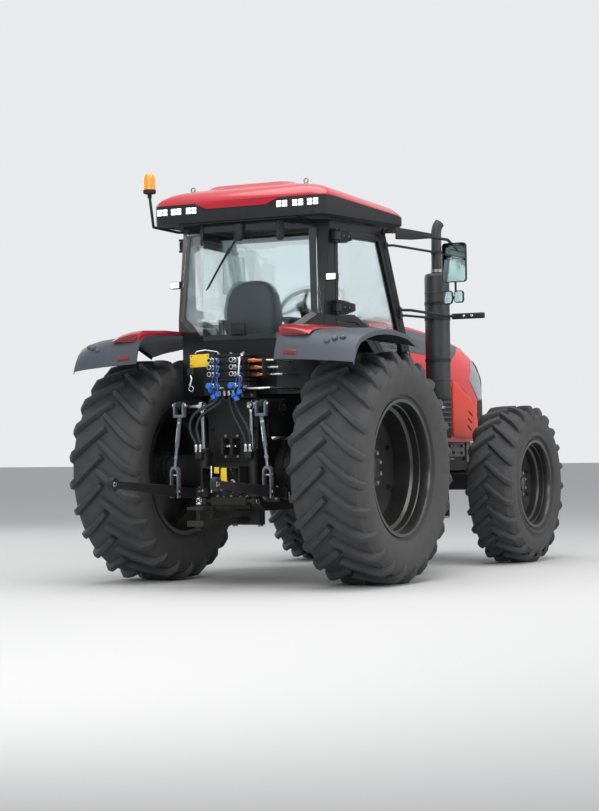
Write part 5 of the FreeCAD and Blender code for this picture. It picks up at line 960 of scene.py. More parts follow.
for k in range(1, 7):
    a = math.radians(9 * k)
    tip_line.append(((1600 + 62 * (1 - math.cos(a)), -780 - 52 * (1 - math.cos(a)), 2780 + 110 * math.sin(a)),
                     42))
stack.rings(tip_line, stack_black, 32, capped=False)
inside = [(place, 38.5) for place, radius in tip_line[2:]]
stack.rings(inside[::-1], soot_and_painted_shade, 32)
stack.collar(stack_foot, upward, ((2456, 43), (2458, 50), (2482, 50), (2484, 43)), dull_steel, 32)
for z in (1730, 2200):
    stack.collar((1600, -780, z), upward, ((-14, 103), (-13, 107), (13, 107), (14, 103)), moulded_black, 48)
    stack.block((1490, 1530), (-800, -770), (z - 12, z + 12), moulded_black, soft=2)
    stack.bolts([(1512, -800, z)], "y", -1, 14, dull_steel)
screen_lean = (1240 - 760) / (2760 - 1560)
for z, clamp in ((2075, ((-16, 103), (-15, 108), (15, 108), (16, 103))),
                 (2622, ((-13, 42), (-12, 47), (12, 47), (13, 42)))):
    x = 760 + screen_lean * (2760 - z) - 24
    root = 740 - 0.07077 * (1240 - x)
    stack.bent([(x, -root - 1, z), (x, -788, z), (1512, -788, z)], 10, 26, moulded_black, 14)
    stack.block((x - 24, x + 24), (-root - 9, -root - 0.5), (z - 26, z + 26), moulded_black, soft=2)
    stack.bolts([(x, -root - 9, z + 17), (x, -root - 9, z - 17)], "y", -1, 10, dull_steel)
    stack.collar((1600, -780, z), upward, clamp, moulded_black, 40)
stack.block((1500, 1570), (-796, -780), (2610, 2634), moulded_black, soft=2)
stack.done("chassis", "exhaust_paint", ("exhaust",))

# Mirrors: moulded housings with silvered glass on bent tube arms, two small wide-angle ones under each main
# one. A moulded arm carries them from the roof's corner, and a bare lamp bracket sits at the end of its own
# arm lower down.
plated = finish("plated_steel", (0.62, 0.63, 0.64), 0.24, metal=1.0, drift=0.1, mottle=30,
                grain=500, bump=0.06)
silvered = finish("silvered_glass", (0.30, 0.40, 0.40), 0.04, metal=1.0, drift=0.25, mottle=5, bump=0)
arms = Form("mirrors_and_arms")


def rounded(low, high, bottom, top, corner, x):
    """A ring with rounded corners, standing across the tractor."""
    ring = []
    for y, z, turn in ((high, top, 0), (low, top, 1), (low, bottom, 2), (high, bottom, 3)):
        for k in range(6):
            a = math.pi / 2 * (turn + k / 5)
            cy = y - corner * (1 if y == high else -1)
            cz = z - corner * (1 if z == top else -1)
            ring.append((x, cy + corner * math.cos(a), cz + corner * math.sin(a)))
    return ring


def mirror_head(low, high, bottom, top, corner, deep):
    """A housing open to the rear, with its glass set in behind a lip."""
    rows = []
    for x, inset in ((1376, 9), (1371, 7), (1370, 2), (1374, 0), (1370 + 0.45 * deep, 1),
                     (1370 + 0.75 * deep, 9), (1370 + 0.95 * deep, 26), (1370 + deep, 40)):
        inset = min(inset, (high - low) * 0.3)
        rows.append(rounded(low + inset, high - inset, bottom + inset, top - inset, max(corner - inset, 8),
                            x))
    arms.loft(rows, moulded_black)
    arms.loft([rounded(low + 8, high - 8, bottom + 8, top - 8, corner - 6, x) for x in (1374, 1379)],
              silvered)


mirror_head(930, 1142, 2350, 2672, 30, 60)
mirror_head(930, 1020, 2175, 2285, 24, 44)
arms.bent([(756, 705, 2726), (756, 820, 2726), (1401, 975, 2726), (1401, 1036, 2636)], 12, 34, moulded_black,
          16)
arms.block((738, 774), (705.5, 714), (2700, 2752), moulded_black, soft=3)
arms.rod((1401, 1036, 2360), (1401, 1036, 2192), 9, moulded_black, 14)
arms.block((1392, 1410), (1000, 1045), (2214, 2240), moulded_black, soft=3)
arms.rod((1401, 1036, 2232), (1401, 1060, 2232), 8, moulded_black, 12)
mirror_head(1032, 1116, 2182, 2282, 24, 50)
arms.bent([(1003, 724, 2120), (1003, 830, 2120), (1385, 960, 2073), (1385, 1060, 2073)], 11, 34,
          moulded_black, 16)
arms.block((984, 1022), (723.8, 731), (2096, 2144), moulded_black, soft=3)
arms.block((1366, 1406), (1010, 1290), (2050, 2096), moulded_black, soft=7)
arms.bolts([(1366, y, 2074) for y in (1120, 1190)], "x", -1, 15, plated)
arms.loft([[(770, y, 2716 + dz) for y, dz in ((800, -52), (812, -52), (812, 44), (800, 44))],
           [(960, y, 2716 + dz) for y, dz in ((852, -44), (864, -44), (864, 36), (852, 36))],
           [(1190, y, 2718 + dz) for y, dz in ((918, -20), (930, -20), (930, 20), (918, 20))]], moulded_black,
          soft=4)
for place in ((756, 790, 2726), (1401, 1036, 2655)):
    arms.collar(place, upward, ((-16, 12), (-15, 17), (15, 17), (16, 12)), moulded_black, 20)
arms.mirror()
arms.done("chassis", "black_plastic", ("mirrors",))

# Steering wheel: a moulded rim on three spokes, with a boss over the nut.
wheel = Form("steering_wheel_rim")
wheel_hub, column_foot = Vector((690, 0, 2150)), Vector((980, 0, 1880))
wheel_way = (wheel_hub - column_foot).normalized()
wheel_up = Vector((0, 1, 0)).cross(wheel_way)
hoop_middle = wheel_hub + wheel_way * 20
rows = []
for k in range(65):
    a = 2 * math.pi * k / 64
    spoke_way = wheel_up * math.cos(a) + Vector((0, 1, 0)) * math.sin(a)
    rows.append([hoop_middle + spoke_way * (185 + 15 * math.cos(b)) + wheel_way * 15 * math.sin(b)
                 for b in (2 * math.pi * j / 14 for j in range(14))])
wheel.loft(rows, moulded_black, capped=False)
for k in range(3):
    a = math.radians(120 * k + 90)
    spoke_way = wheel_up * math.sin(a) + Vector((0, 1, 0)) * math.cos(a)
    sideways = wheel_way.cross(spoke_way)
    wheel.loft([[hoop_middle + spoke_way * reach + sideways * w + wheel_way * (dip + h)
                 for w, h in ((-half, -5), (half, -5), (half, 5), (-half, 5))]
                for reach, half, dip in ((20, 26, -6), (90, 15, -4), (178, 11, 0))], dull_steel, soft=2)
wheel.collar(hoop_middle, wheel_way, ((-26, 40), (-20, 46), (8, 46), (18, 38), (22, 18)), moulded_black, 32)
wheel.done("steering_wheel_body", "black_plastic", ("steering_wheel",))

# Cab fittings: a dash and shroud round the steering column, the right side console with its levers, and the
# seat's suspension under a rubber bellows; all moulded in dark grey plastic.
cab_grey = finish("cab_grey", (0.045, 0.050, 0.058), 0.6, drift=0.12, mottle=9, grain=900, bump=0.25)
inside_cab = Form("cab_fittings_moulded", soft=6)
for k in range(7):
    z = 1492 + 36 * k
    inside_cab.loft([[(60 + sx * (190 + grow), sy * (170 + grow), z + dz)
                      for sx, sy in ((-1, -1), (1, -1), (1, 1), (-1, 1))]
                     for dz, grow in ((0, -22), (18, 0), (36, -22))], moulded_black, soft=3)
inside_cab.block((-130, 250), (-170, 170), (1738, 1759), cab_grey)
inside_cab.slab("y", [(-150, 1481), (180, 1481), (216, 1790), (214, 1835), (160, 1885), (-110, 1866),
                      (-150, 1840)], -540, -330, cab_grey, soft=14)
for x, y, tall, lean in ((60, -370, 120, 20), (60, -410, 120, 20), (110, -480, 150, 30), (-10, -480, 90, 10)):
    inside_cab.bent([(x, y, 1860), (x + lean, y, 1860 + tall * 0.6), (x + lean * 1.4, y, 1860 + tall)], 5, 20,
                    dull_steel, 10)
    tip = Vector((x + lean * 1.4, y, 1860 + tall))
    inside_cab.collar(tip, upward, ((-14, 8), (-4, 14), (10, 17), (22, 15), (30, 6)), moulded_black, 16)
inside_cab.block((-150, 190), (-345, -270), (1985, 2030), cab_grey, soft=18)
inside_cab.block((-150, -110), (-330, -290), (1840, 1990), cab_grey, soft=8)
inside_cab.slab("y", [(905, 1152), (1211, 1152), (1211, 1560), (1075, 1858), (1010, 1930), (900, 1902),
                      (884, 1880), (930, 1600)], -168, 168, cab_grey, soft=18)
inside_cab.slab("y", [(905, 1900), (1012, 1938), (1000, 1985), (940, 1990), (892, 1950)], -150, 150,
                moulded_black, soft=16)
inside_cab.block((889, 891), (-120, 120), (1918, 1978), printed_border, soft=0.5)
for sleeve in (((0, 58), (120, 48), (300, 42), (362, 34)), ((355, 30), (368, 22))):
    inside_cab.collar(column_foot, wheel_way, sleeve, moulded_black)
inside_cab.bent([(880, 60, 2010), (860, 150, 2060), (845, 190, 2085)], 5, 20, moulded_black, 8)
for pedal in ((175, 250), (-250, -180)):
    inside_cab.block((900, 930), pedal, (1180, 1290), moulded_black, soft=5)
for y in (210, -215):
    inside_cab.bent([(915, y, 1285), (960, y, 1420), (1120, y, 1500)], 8, 30, dull_steel, 10)
inside_cab.done("chassis", "cab_plastic", ("cab_fittings",))

# Seat: foam cushions in a dark slate woven cover with a sewn seam round each panel, on a moulded shell.
# The covers are pulled over the foam, so the panels stand up between the seams; the weave is in the finish.
slate_cloth = finish("slate_cloth", (0.040, 0.048, 0.062), 0.85, drift=0.18, mottle=14, bump=0,
                     Sheen_Weight=0.35)
nodes, links = slate_cloth.node_tree.nodes, slate_cloth.node_tree.links
spot = nodes.new("ShaderNodeTexCoord").outputs["Object"]
threads = []
for direction in ("X", "Z"):
    thread = add_node(nodes, "TexWave", Scale=90, Distortion=0.6)
    thread.bands_direction = direction
    links.new(spot, thread.inputs["Vector"])
    threads.append(thread.outputs["Fac"])
add_relief(nodes, links, product(nodes, links, *threads), 0.35, 0.001)


def evaluated_mesh(piece):
    """The piece's mesh with its modifiers worked out."""
    bpy.context.view_layer.update()
    seen = piece.evaluated_get(bpy.context.evaluated_depsgraph_get())
    return bpy.data.meshes.new_from_object(seen)


def pulled_over_foam(piece, seams, cell, cap):
    """Blows the cover up between its seams as cloth does over foam, up to the cap, and smooths it once."""
    voxel = piece.modifiers.new("even_faces", "REMESH")
    voxel.mode = "VOXEL"
    voxel.voxel_size = cell
    even = evaluated_mesh(piece)
    piece.modifiers.clear()
    piece.data = even
    held = piece.vertex_groups.new(name="held")
    rest = [v.co.copy() for v in even.vertices]
    for i, place in enumerate(rest):
        if seams(place):
            held.add([i], 1.0, "REPLACE")
    cloth = piece.modifiers.new("cover", "CLOTH")
    for setting, amount in (("vertex_group_mass", "held"), ("quality", 4), ("mass", 0.3),
                            ("tension_stiffness", 12), ("compression_stiffness", 12),
                            ("shear_stiffness", 6), ("bending_stiffness", 1.0), ("use_pressure", True),
                            ("uniform_pressure_force", 4)):
        setattr(cloth.settings, setting, amount)
    cloth.settings.effector_weights.gravity = 0
    cloth.collision_settings.use_collision = False
    cloth.point_cache.frame_start = 1
    cloth.point_cache.frame_end = 20
    for frame_number in range(1, 21):
        bpy.context.scene.frame_set(frame_number)
    blown = evaluated_mesh(piece)
    for vertex, place in zip(blown.vertices, rest):
        move = vertex.co - place
        if move.length > cap:
            vertex.co = place + move.normalized() * cap
    piece.modifiers.clear()
    piece.data = blown
    bpy.context.scene.frame_set(1)
    smooth = piece.modifiers.new("smooth", "SUBSURF")
    smooth.levels = 1
    piece.data = evaluated_mesh(piece)
    piece.modifiers.clear()
    piece.data.polygons.foreach_set("use_smooth", [True] * len(piece.data.polygons))


foam_cell, most_blown = 0.009, 0.009
cushion = Form("seat_cushion")
rows = []
cushion_half = ((-250, 26, -22), (-240, 10, -8), (-222, 3, 2), (-190, 0, 4), (-168, 0, -4), (-90, 0, -3))
for y, inset, rise in cushion_half + ((0, 0, -1),) + tuple((-y, inset, rise)
                                                           for y, inset, rise in cushion_half[::-1]):
    rows.append([(x, y, z) for x, z in (
        (-146 + inset, 1764 + inset * 0.5), (330 - inset, 1764 + inset * 0.5), (342 - inset, 1790),
        (340 - inset, 1822 + rise * 0.5), (318 - inset, 1842 + rise), (200, 1846 + rise), (60, 1840 + rise),
        (-60 + inset * 0.4, 1842 + rise), (-96 + inset, 1806))])
cushion.loft(rows, slate_cloth)
seat_cushion = cushion.done("chassis", "seat_cloth", ("seat",))


def cushion_seams(place):
    """Where the cushion's cover is held: its foot, the two seams along it and the one round its edge."""
    return place.z < 1.772 or abs(abs(place.y) - 0.178) < 0.007 or abs(place.z - 1.800) < 0.006


pulled_over_foam(seat_cushion, cushion_seams, foam_cell, most_blown)

back = Form("seat_back")
rows = []
for z, front, rear, half, turn in ((1866, -72, -118, 150, 60), (1880, -54, -150, 190, 50),
                                   (1920, -44, -178, 222, 46), (2020, -50, -182, 232, 44),
                                   (2120, -60, -178, 230, 44), (2200, -68, -174, 216, 44),
                                   (2262, -76, -168, 186, 42), (2300, -88, -158, 140, 36),
                                   (2316, -104, -146, 90, 22)):
    right_half = [(rear, -half + turn), (rear + turn * 0.5, -half), (front - 10, -half),
                  (front + 6, -half * 0.86), (front, -half * 0.62)]
    rows.append([(x, y, z)
                 for x, y in right_half + [(front + 3, 0)] + [(x, -y) for x, y in right_half[::-1]]])
back.loft(rows, slate_cloth)
seat_back = back.done("chassis", "seat_cloth")


def back_seams(place):
    """Where the back's cover is held: two seams up its front, one across it, and all of its rear."""
    return abs(abs(place.y) - 0.150) < 0.006 and place.x > -1.200 or abs(
        place.z - 2.19) < 0.006 or place.x < -1.285


pulled_over_foam(seat_back, back_seams, foam_cell, most_blown)

shell_back = Form("seat_shell", soft=4)
rows = []
for z, rear, half in ((1780, -150, 150), (1860, -178, 205), (1960, -196, 226), (2100, -198, 228),
                      (2200, -190, 212), (2268, -178, 176), (2302, -164, 120), (2312, -154, 70)):
    rows.append([(x, y, z) for x, y in ((rear + 34, -half), (rear + 6, -half * 0.92), (rear, -half * 0.6),
                                        (rear - 1, 0), (rear, half * 0.6), (rear + 6, half * 0.92),
                                        (rear + 34, half), (rear + 26, half * 0.9), (rear + 14, 0),
                                        (rear + 26, -half * 0.9))])
shell_back.loft(rows, cab_grey, soft=0)
shell_back.block((-150, 120), (250, 294), (1990, 2030), cab_grey, soft=12)
shell_back.block((-148, -112), (252, 290), (1850, 1995), cab_grey, soft=6)
shell_back.done("chassis", "cab_plastic")

# Tanks and steps: a ribbed plastic fuel tank on the left and a battery box of the same mould on the right.
# Each hangs on steel brackets under steel straps, and carries a ladder of folded, punched steel treads.
tanks = Form("tanks_and_steps")


def tank_ring(x, inset):
    """The tank's outline across the tractor, with its corners rounded."""
    ring = []
    for y, z, corner, turn in ((820, 1040, 60, 0), (330, 1060, 40, 1), (330, 640, 60, 2), (800, 600, 80, 3)):
        corner = corner - inset * 0.4
        inner_y = y - inset - corner if y > 500 else y + inset + corner
        inner_z = z - inset - corner if z > 800 else z + inset + corner
        for k in range(7):
            a = math.pi / 2 * (turn + k / 6)
            ring.append((x, inner_y + corner * math.cos(a), inner_z + corner * math.sin(a)))
    return ring


profile = [(960, 22), (966, 10), (980, 3), (1000, 1)]
for rib in (1330, 1470, 1610):
    profile += [(rib - 46, 1), (rib - 38, 9), (rib + 38, 9), (rib + 46, 1)]
profile += [(1720, 1), (1742, 4), (1754, 11), (1760, 22)]
tanks.loft([tank_ring(x, inset) for x, inset in profile], moulded_black)
for x in (1400, 1540):
    strap = [[(edge, 575 + (y - 575) * 1.006, 830 + (z - 830) * 1.004) for _, y, z in tank_ring(edge, 0)]
             for edge in (x - 18, x + 18)]
    tanks.loft(strap, dull_steel, capped=False)
for low in (1260, 1600):
    tanks.block((low, low + 70), (298.3, 402), (932, 1042), cast_black, soft=4)
    tanks.bolts([(low - 1, 330, z) for z in (960, 1014)], "x", -1, 16, dull_steel)
tanks.collar((1120, 770, 990), (0, 1, 0), ((30, 48), (44, 48), (46, 44), (62, 44), (64, 40)), moulded_black,
             32, soft=2)
for foot in around((1120, 817, 990), "y", 44, 12):
    tanks.rod(foot, foot + Vector((0, 13, 0)), 4, moulded_black, 6)
for x in (968, 1268):
    tanks.slab("x", [(800, 446), (1000, 446), (1008, 456), (1008, 540), (986, 1010), (940, 1058), (812, 1060),
                     (806, 1040), (840, 990), (880, 940), (900, 560), (880, 520), (806, 516)], x, x + 10,
               moulded_black, soft=3)
for z in (446, 703, 960):
    tanks.block((979, 1267), (840, 1006), (z + 11, z + 15), dull_steel, soft=0)
    for y in (840, 1001):
        tanks.block((979, 1267), (y, y + 4), (z - 2, z + 15), dull_steel, soft=0.8)
    for row in range(3):
        for k in range(8):
            tanks.collar((1000 + 35 * k, 870 + 50 * row, z + 15), upward,
                         ((-0.5, 12), (2.5, 9), (2.5, 6.5), (-2, 6.5)), dull_steel, 10)
tanks.bent([(1274, 800, 1048), (1274, 850, 1052), (1274, 960, 1052), (1274, 1000, 1010)], 6, 30,
           moulded_black, 10)
tanks.mirror()
tanks.done("chassis", "black_plastic", ("tanks_and_steps",))

# Rear hitch: forged lift arms on a splined shaft carry the lower links by screw-adjusted lift rods.
# An assist cylinder pushes up under each arm; its foot pin runs through the carrier on the axle housing.
chromed = finish("chromed_rod", (0.86, 0.87, 0.88), 0.08, metal=1.0, drift=0.03, mottle=6, bump=0)
sleeve_grey = finish("sleeve_grey", (0.115, 0.135, 0.165), 0.42, drift=0.2, mottle=18, grain=300,
                     bump=0.15, dust=0.2)
tab_yellow = finish("tab_yellow", (0.80, 0.52, 0.02), 0.5, drift=0.06, mottle=30, bump=0)
cap_blue = finish("cap_blue", (0.03, 0.14, 0.55), 0.4, drift=0.08, mottle=30, bump=0)

lift_arms = Form("lift_arms_forged", soft=6)
lift_arms.rod((-330, -354, 1335), (-330, 354, 1335), 41.5, cast_black, 36, soft=2)
for side in (-1, 1):
    low, high = span(side, 336.5, 371.5)
    outline = [(-256, 1296), (-262, 1392), (-300, 1402), (-344, 1402), (-480, 1399), (-586, 1396),
               (-640, 1392), (-660, 1376), (-661, 1346), (-646, 1332), (-600, 1330), (-548, 1310),
               (-528, 1308), (-470, 1300), (-380, 1278), (-320, 1276), (-276, 1280)]
    lift_arms.slab("y", outline, low, high, cast_black, soft=7)
    for y, out in ((low, (0, -1, 0)), (high, (0, 1, 0))):
        lift_arms.collar((-330, y, 1335), out, ((-4, 62), (4, 62), (8, 54), (9, 30)), cast_black, 36)
        lift_arms.collar((-630, y, 1362), out, ((-1, 25), (5, 25), (6, 20)), cast_black)
        lift_arms.collar((-535, y, 1353.45), out, ((-1, 25), (6, 25), (8, 20)), cast_black)
    for foot in around((-330, side * 380.5, 1335), "y", 20, 10):
        lift_arms.rod(foot, foot + Vector((0, side * 2.5, 0)), 3, dull_steel, 8)
    lift_arms.rod((-630, side * 292.5, 1362), (-630, side * 415.5, 1362), 12, plated, 28, soft=1.5)
    lift_arms.rod((-535, side * 188.5, 1353.45), (-535, side * 377.5, 1353.45), 12, plated, 28, soft=1.5)
    for y in (side * 410, side * 298):
        lift_arms.collar((-630, y, 1362), (0, 1, 0), ((-2, 12), (-2, 16), (2, 16), (2, 12)), plated, 20)
        lift_arms.rings([((-630 - 15 * math.sin(t), y, 1362 + 15 * math.cos(t)), 1.6)
                         for t in (0.2 * k for k in range(28))], plated, 6)
lift_arms.done("lift_arms_body", "black_paint", ("lift_arms",))

for side, hand in ((1, "left"), (-1, "right")):
    link = Form("lower_link_%s_forged" % hand, soft=7)
    rows = []
    for share in (0.0, 0.04, 0.2, 0.273, 0.36, 0.6, 0.9, 0.96, 1.0):
        x = -330 - 1100 * share
        y = 390 + 40 * share
        z = 688 + 102 * share
        reach = 34 + 12 * (share / 0.273) if share < 0.273 else 46 - 18 * (share - 0.273) / 0.727
        thick = 12 + 2 * (share / 0.273) if share < 0.273 else 14 - 2 * (share - 0.273) / 0.727
        if 0.04 < share < 0.96 and abs(share - 0.273) > 0.02:
            reach -= 3
        rows.append([(x, side * (y + a * thick - b), z + c * reach - d)
                     for a, b, c, d in ((-1, 0, -1, -5), (-1, -4, -1, 0), (1, 4, -1, 0), (1, 0, -1, -5),
                                        (1, 0, 1, 5), (1, 4, 1, 0), (-1, -4, 1, 0), (-1, 0, 1, 5))])
    link.loft(rows, cast_black, soft=0)
    for x, y, z, radius, hole in ((-330, 390, 688, 46, 15.8), (-1430, 430, 790, 50, 14.3)):
        link.turn((x, side * y, z), "y", [(-22, hole + 14), (-22, radius - 3), (-19, radius), (19, radius),
                                          (22, radius - 3), (22, hole + 14), (16, hole + 12),
                                          (-16, hole + 12)], cast_black, steps=40, closed=True)
        turns = (-1.5, -1.1, -0.7, -0.3, 0.0, 0.3, 0.7, 1.1, 1.5)
        ball = [(21.5 * math.sin(t), (hole + 14) * math.cos(t) if abs(t) < 1.2 else hole + 2) for t in turns]
        link.turn((x, side * y, z), "y", ball + [(21.5, hole), (-21.5, hole)], plated, steps=36, closed=True)
    link.rod((-630, side * 353.5, 715), (-630, side * 448.5, 715), 12, plated, 28, soft=1.5)
    for out in (355, 447):
        link.collar((-630, side * out, 715), (0, side, 0), ((-2, 12), (-2, 15.5), (2, 15.5), (2, 12)), plated,
                    20)
    link.done("lower_link_%s_body" % hand, "black_paint", ("lower_link_" + hand,))

rods = Form("lift_rods_with_forks", soft=3)
for y in (316, 392):
    rods.slab("y", [(-654, 1286), (-606, 1286), (-606, 1366), (-614, 1380), (-630, 1387), (-646, 1380),
                    (-654, 1366)], y - 7.5, y + 7.5, sleeve_grey, soft=2.5)
rods.block((-653.5, -606.5), (308.5, 399.5), (1270.5, 1293.5), sleeve_grey, soft=5)
upper, lower = Vector((-630, 354, 1282)), Vector((-630, 400.9, 895))
along = (lower - upper).normalized()
rods.collar(upper, along, ((0, 15), (8, 16.5), (40, 16.5), (42, 14), (60, 14), (62, 16.8), (128, 16.8),
                           (130, 16.9), (238, 16.9), (240, 13), (300, 13), (302, 15), (330, 15), (332, 13),
                           (388, 13)), sleeve_grey)
for k in range(26):
    rods.collar(upper + along * (242 + 5.6 * k), along, ((0, 12.6), (1.4, 14.6), (2.8, 14.6), (4.2, 12.6)),
                plated, 20)
for start in (42, 304):
    rods.rod(upper + along * start, upper + along * (start + 18), 16.8, plated, 6)
rods.bent([upper + along * d + Vector((-1 * out, 0, 0)) for d, out in ((90, 16), (90, 23.5), (200, 23.5))],
          4.5, 10, plated, 10)
yoke = [(365.5, 664), (377, 664), (377, 858), (383, 872), (392, 880), (401, 882), (410, 880), (419, 872),
        (425, 858), (425, 664), (436.5, 664), (437, 868), (431, 886), (419, 900), (401, 907), (383, 900),
        (371, 886), (365, 868)]
rods.slab("x", yoke, -653.5, -606.5, sleeve_grey, soft=3)
# the slots through the fork's cheeks are not cut: black blocks fill them as painted shade
for y in (371, 431):
    slot_outline = [(-640, 684), (-620, 684), (-617, 690), (-617, 740), (-620, 746), (-640, 746), (-643, 740),
                    (-643, 690)]
    rods.slab("y", slot_outline, y - 6.3, y + 6.3, soot_and_painted_shade, soft=0)
rods.rod((-630, 362, 838), (-630, 440, 838), 8, plated, 20, soft=1)
rods.mirror()
rods.done("lift_rods_body", "black_paint", ("lift_rods",))

barrels = Form("assist_cylinder_barrels", soft=1)
cyl_foot, cyl_eye = Vector((-500, 212, 640)), Vector((-535, 212, 1353.45))
cyl_way = (cyl_eye - cyl_foot).normalized()
barrels.collar(cyl_foot, cyl_way, ((30, 30), (36, 37), (48, 37.5), (50, 38), (352, 38), (354, 37), (362, 37),
                                   (364, 43), (368, 44), (392, 44), (395, 42), (395, 18), (380, 17.7)),
               cast_black, 40)
barrels.turn((-500, 212, 640), "y", [(-20, 15.8), (-20, 33), (-17, 36), (17, 36), (20, 33), (20, 15.8)],
             cast_black, steps=36, closed=True)
for d in (80, 330):
    port = cyl_foot + cyl_way * d
    barrels.rod(port + Vector((-30, 0, 0)), port + Vector((-46, 0, 0)), 11, plated, 6)
for foot in around(cyl_foot + cyl_way * 395, "z", 31, 4, math.pi / 4):
    barrels.rod(foot, foot + cyl_way * 4, 5, dull_steel, 8)
barrels.mirror()
barrels.done("cylinder_barrels_body", "black_paint", ("cylinder_barrels",))

cyl_rods = Form("assist_cylinder_rods", soft=1)
cyl_rods.collar(cyl_foot, cyl_way, ((160, 15), (163, 17.4), (660, 17.4), (664, 21), (690, 24)), chromed, 36)
cyl_rods.turn((-535, 212, 1353.45), "y", [(-16, 26.2), (-16, 35), (-13, 37.8), (13, 37.8), (16, 35),
                                          (16, 26.2)], plated, steps=40, closed=True)
cyl_rods.mirror()
cyl_rods.done("cylinder_rods_body", "rod_chrome", ("cylinder_rods",))

# Hitch carrier details on the axle housing: pins with keepers, the top-link bracket's bosses, and the guard
# over the PTO. The guard is a folded steel hood bolted on; blank yellow tabs and a spring catch hang on it.
carrier = Form("hitch_carrier_fittings", soft=2)
for side in (-1, 1):
    carrier.collar((-330, side * 426, 688), (0, side, 0), ((-3, 15.5), (-3, 26), (3, 26), (6, 21)), plated)
    carrier.collar((-500, side * 240, 640), (0, side, 0), ((-3, 15.5), (-3, 24), (3, 24), (5, 19)), plated)
    carrier.bolts([(x, side * 290, 733.5) for x in (-370, -290)], "z", 1, 20, dull_steel)
    carrier.bolts([(-386, side * y, z) for y in (240, 336) for z in (655, 708)], "x", -1, 18, dull_steel)
    carrier.collar((-506, side * 50, 1050), (0, side, 0), ((-1, 14.5), (-1, 27), (6, 27), (6, 14.5)),
                   cast_black, 32)
    carrier.bolts([(-461, side * 52, z) for z in (972, 1128)], "x", -1, 15, dull_steel)
    carrier.bolts([(-463, side * y, 672) for y in (70, 128)], "x", -1, 15, dull_steel)
    carrier.block((-640, -628), span(side, 150, 164), (742, 760), moulded_black, soft=2)
carrier.rod((-506, -66, 1050), (-506, 66, 1050), 12, plated, 24, soft=1.5)
carrier.slab("x", [(-163, 897.2), (163, 897.2), (163, 899.4), (-163, 899.4)], -636, -444,
             cast_black, soft=0.6)
carrier.slab("x", [(-8, 890), (-56, 890), (-58, 786), (-4, 786)], -645, -641, tab_yellow, soft=1)
carrier.slab("x", [(10, 896), (52, 896), (52, 850), (10, 850)], -643, -640.5, tab_yellow, soft=0.6)
carrier.rod((-648, 72, 706), (-648, 72, 905), 7, plated, 14, soft=1)
for z in (770, 880):
    carrier.block((-654, -640), (60, 84), (z - 6, z + 6), cast_black, soft=2)
carrier.turn((-470, 0, 775), "x", [(-8, 76), (-8, 118), (-4, 122), (6, 122), (6, 76)], cast_black, steps=40,
             closed=True)
carrier.bolts(around((-478, 0, 775), "x", 100, 6, math.pi / 6), "x", -1, 14, dull_steel)
carrier.bolts([(x, side * 112, 450) for x in (-262, -218) for side in (-1, 1)], "z", -1, 18, dull_steel)
carrier.collar((-950, 0, 0), upward, ((630.5, 23), (636, 24), (642, 22), (646, 14)), plated)
carrier.bent([(-950, -9, 646), (-950, -9, 672), (-950, 22, 690), (-950, 22, 650)], 3.5, 10, plated, 8)
carrier.bolts([(x, 0, 512.5) for x in (-840, -780)], "z", 1, 20, dull_steel)
carrier.done("chassis", "black_casting")

# PTO stub: a ground steel shaft with long splines, a snap groove and a chamfered end.
stub = Form("pto_stub")
stub.collar((0, 0, 775), (1, 0, 0), ((-350, 21.6), (-449, 21.6), (-450, 25.6), (-461, 25.6), (-462, 15.6),
                                     (-548, 15.6), (-551.5, 12.8)), plated, 36)
for k in range(6):
    a = math.radians(60 * k)
    out, beside = Vector((0, math.cos(a), math.sin(a))), Vector((0, -math.sin(a), math.cos(a)))
    for ends in ((-500, -463), (-549, -507)):
        stub.loft([[Vector((x, 0, 775)) + out * r + beside * w
                    for r, w in ((12, -4.3), (17.3, -4.3), (17.3, 4.3), (12, 4.3))] for x in ends],
                  plated, soft=0.6)
stub.done("pto_shaft_body", "bright_steel", ("pto_shaft",))

# Remote valves: a stack of cast spool sections bolted to the lift housing, with two columns of couplers.
# The couplers' blue caps hang on straps; steel pipes with copper-plated nuts run from the stack to the cab.
copper = finish("copper_plating", (0.62, 0.20, 0.08), 0.3, metal=0.9, drift=0.25, mottle=40,
                grain=400, bump=0.08)
valves = Form("valve_stack", soft=3)
valves.block((-586, -411), (-186, 50), (1468, 1738), cast_black)
for low, high in ((1468, 1530), (1534, 1558), (1562, 1610), (1614, 1662), (1666, 1714), (1718, 1740)):
    valves.block((-600, -409.2), (-196, 58), (low, high), cast_black, soft=4)
    valves.block((-560, -440), (-210, -190), (low + 4, high - 4), cast_black, soft=3)
for y in (-178, 42, -68):
    valves.rod((-574, y, 1462), (-574, y, 1746), 6, dull_steel, 10)
    valves.bolts([(-574, y, 1741)], "z", 1, 16, dull_steel)
valves.block((-440, -409.2), (-200, 20), (1410.5, 1470), cast_black)
valves.bolts([(-441, y, 1432) for y in (-170, -90, -10)], "x", -1, 16, dull_steel)
coupler = [(-616, 12), (-616, 17), (-640, 17), (-643, 20.5), (-652, 20.5), (-654, 19), (-658, 20.5),
           (-696, 20.5), (-699, 18), (-706, 18), (-708, 19), (-733, 19), (-735, 17.5), (-735, 12.5),
           (-712, 11), (-712, 2), (-616, 2)]
for y in (-160, 30):
    for z in (1690, 1638, 1586, 1500):
        valves.rod((-598, y, z), (-616, y, z), 23, plated, 6, soft=1)
        valves.turn((0, y, z), "x", coupler, plated, steps=28, closed=True)
        # a thin black disc at the bottom of each coupler's mouth, painted shade in its bore
        valves.rod((-713, y, z), (-714, y, z), 11, painted_shade_and_seam, 20)
        valves.turn((0, y, z), "x", [(-626, 17.5), (-626, 23), (-630, 24.5), (-636, 24.5), (-638, 17.5)],
                    cap_blue, steps=24, closed=True)
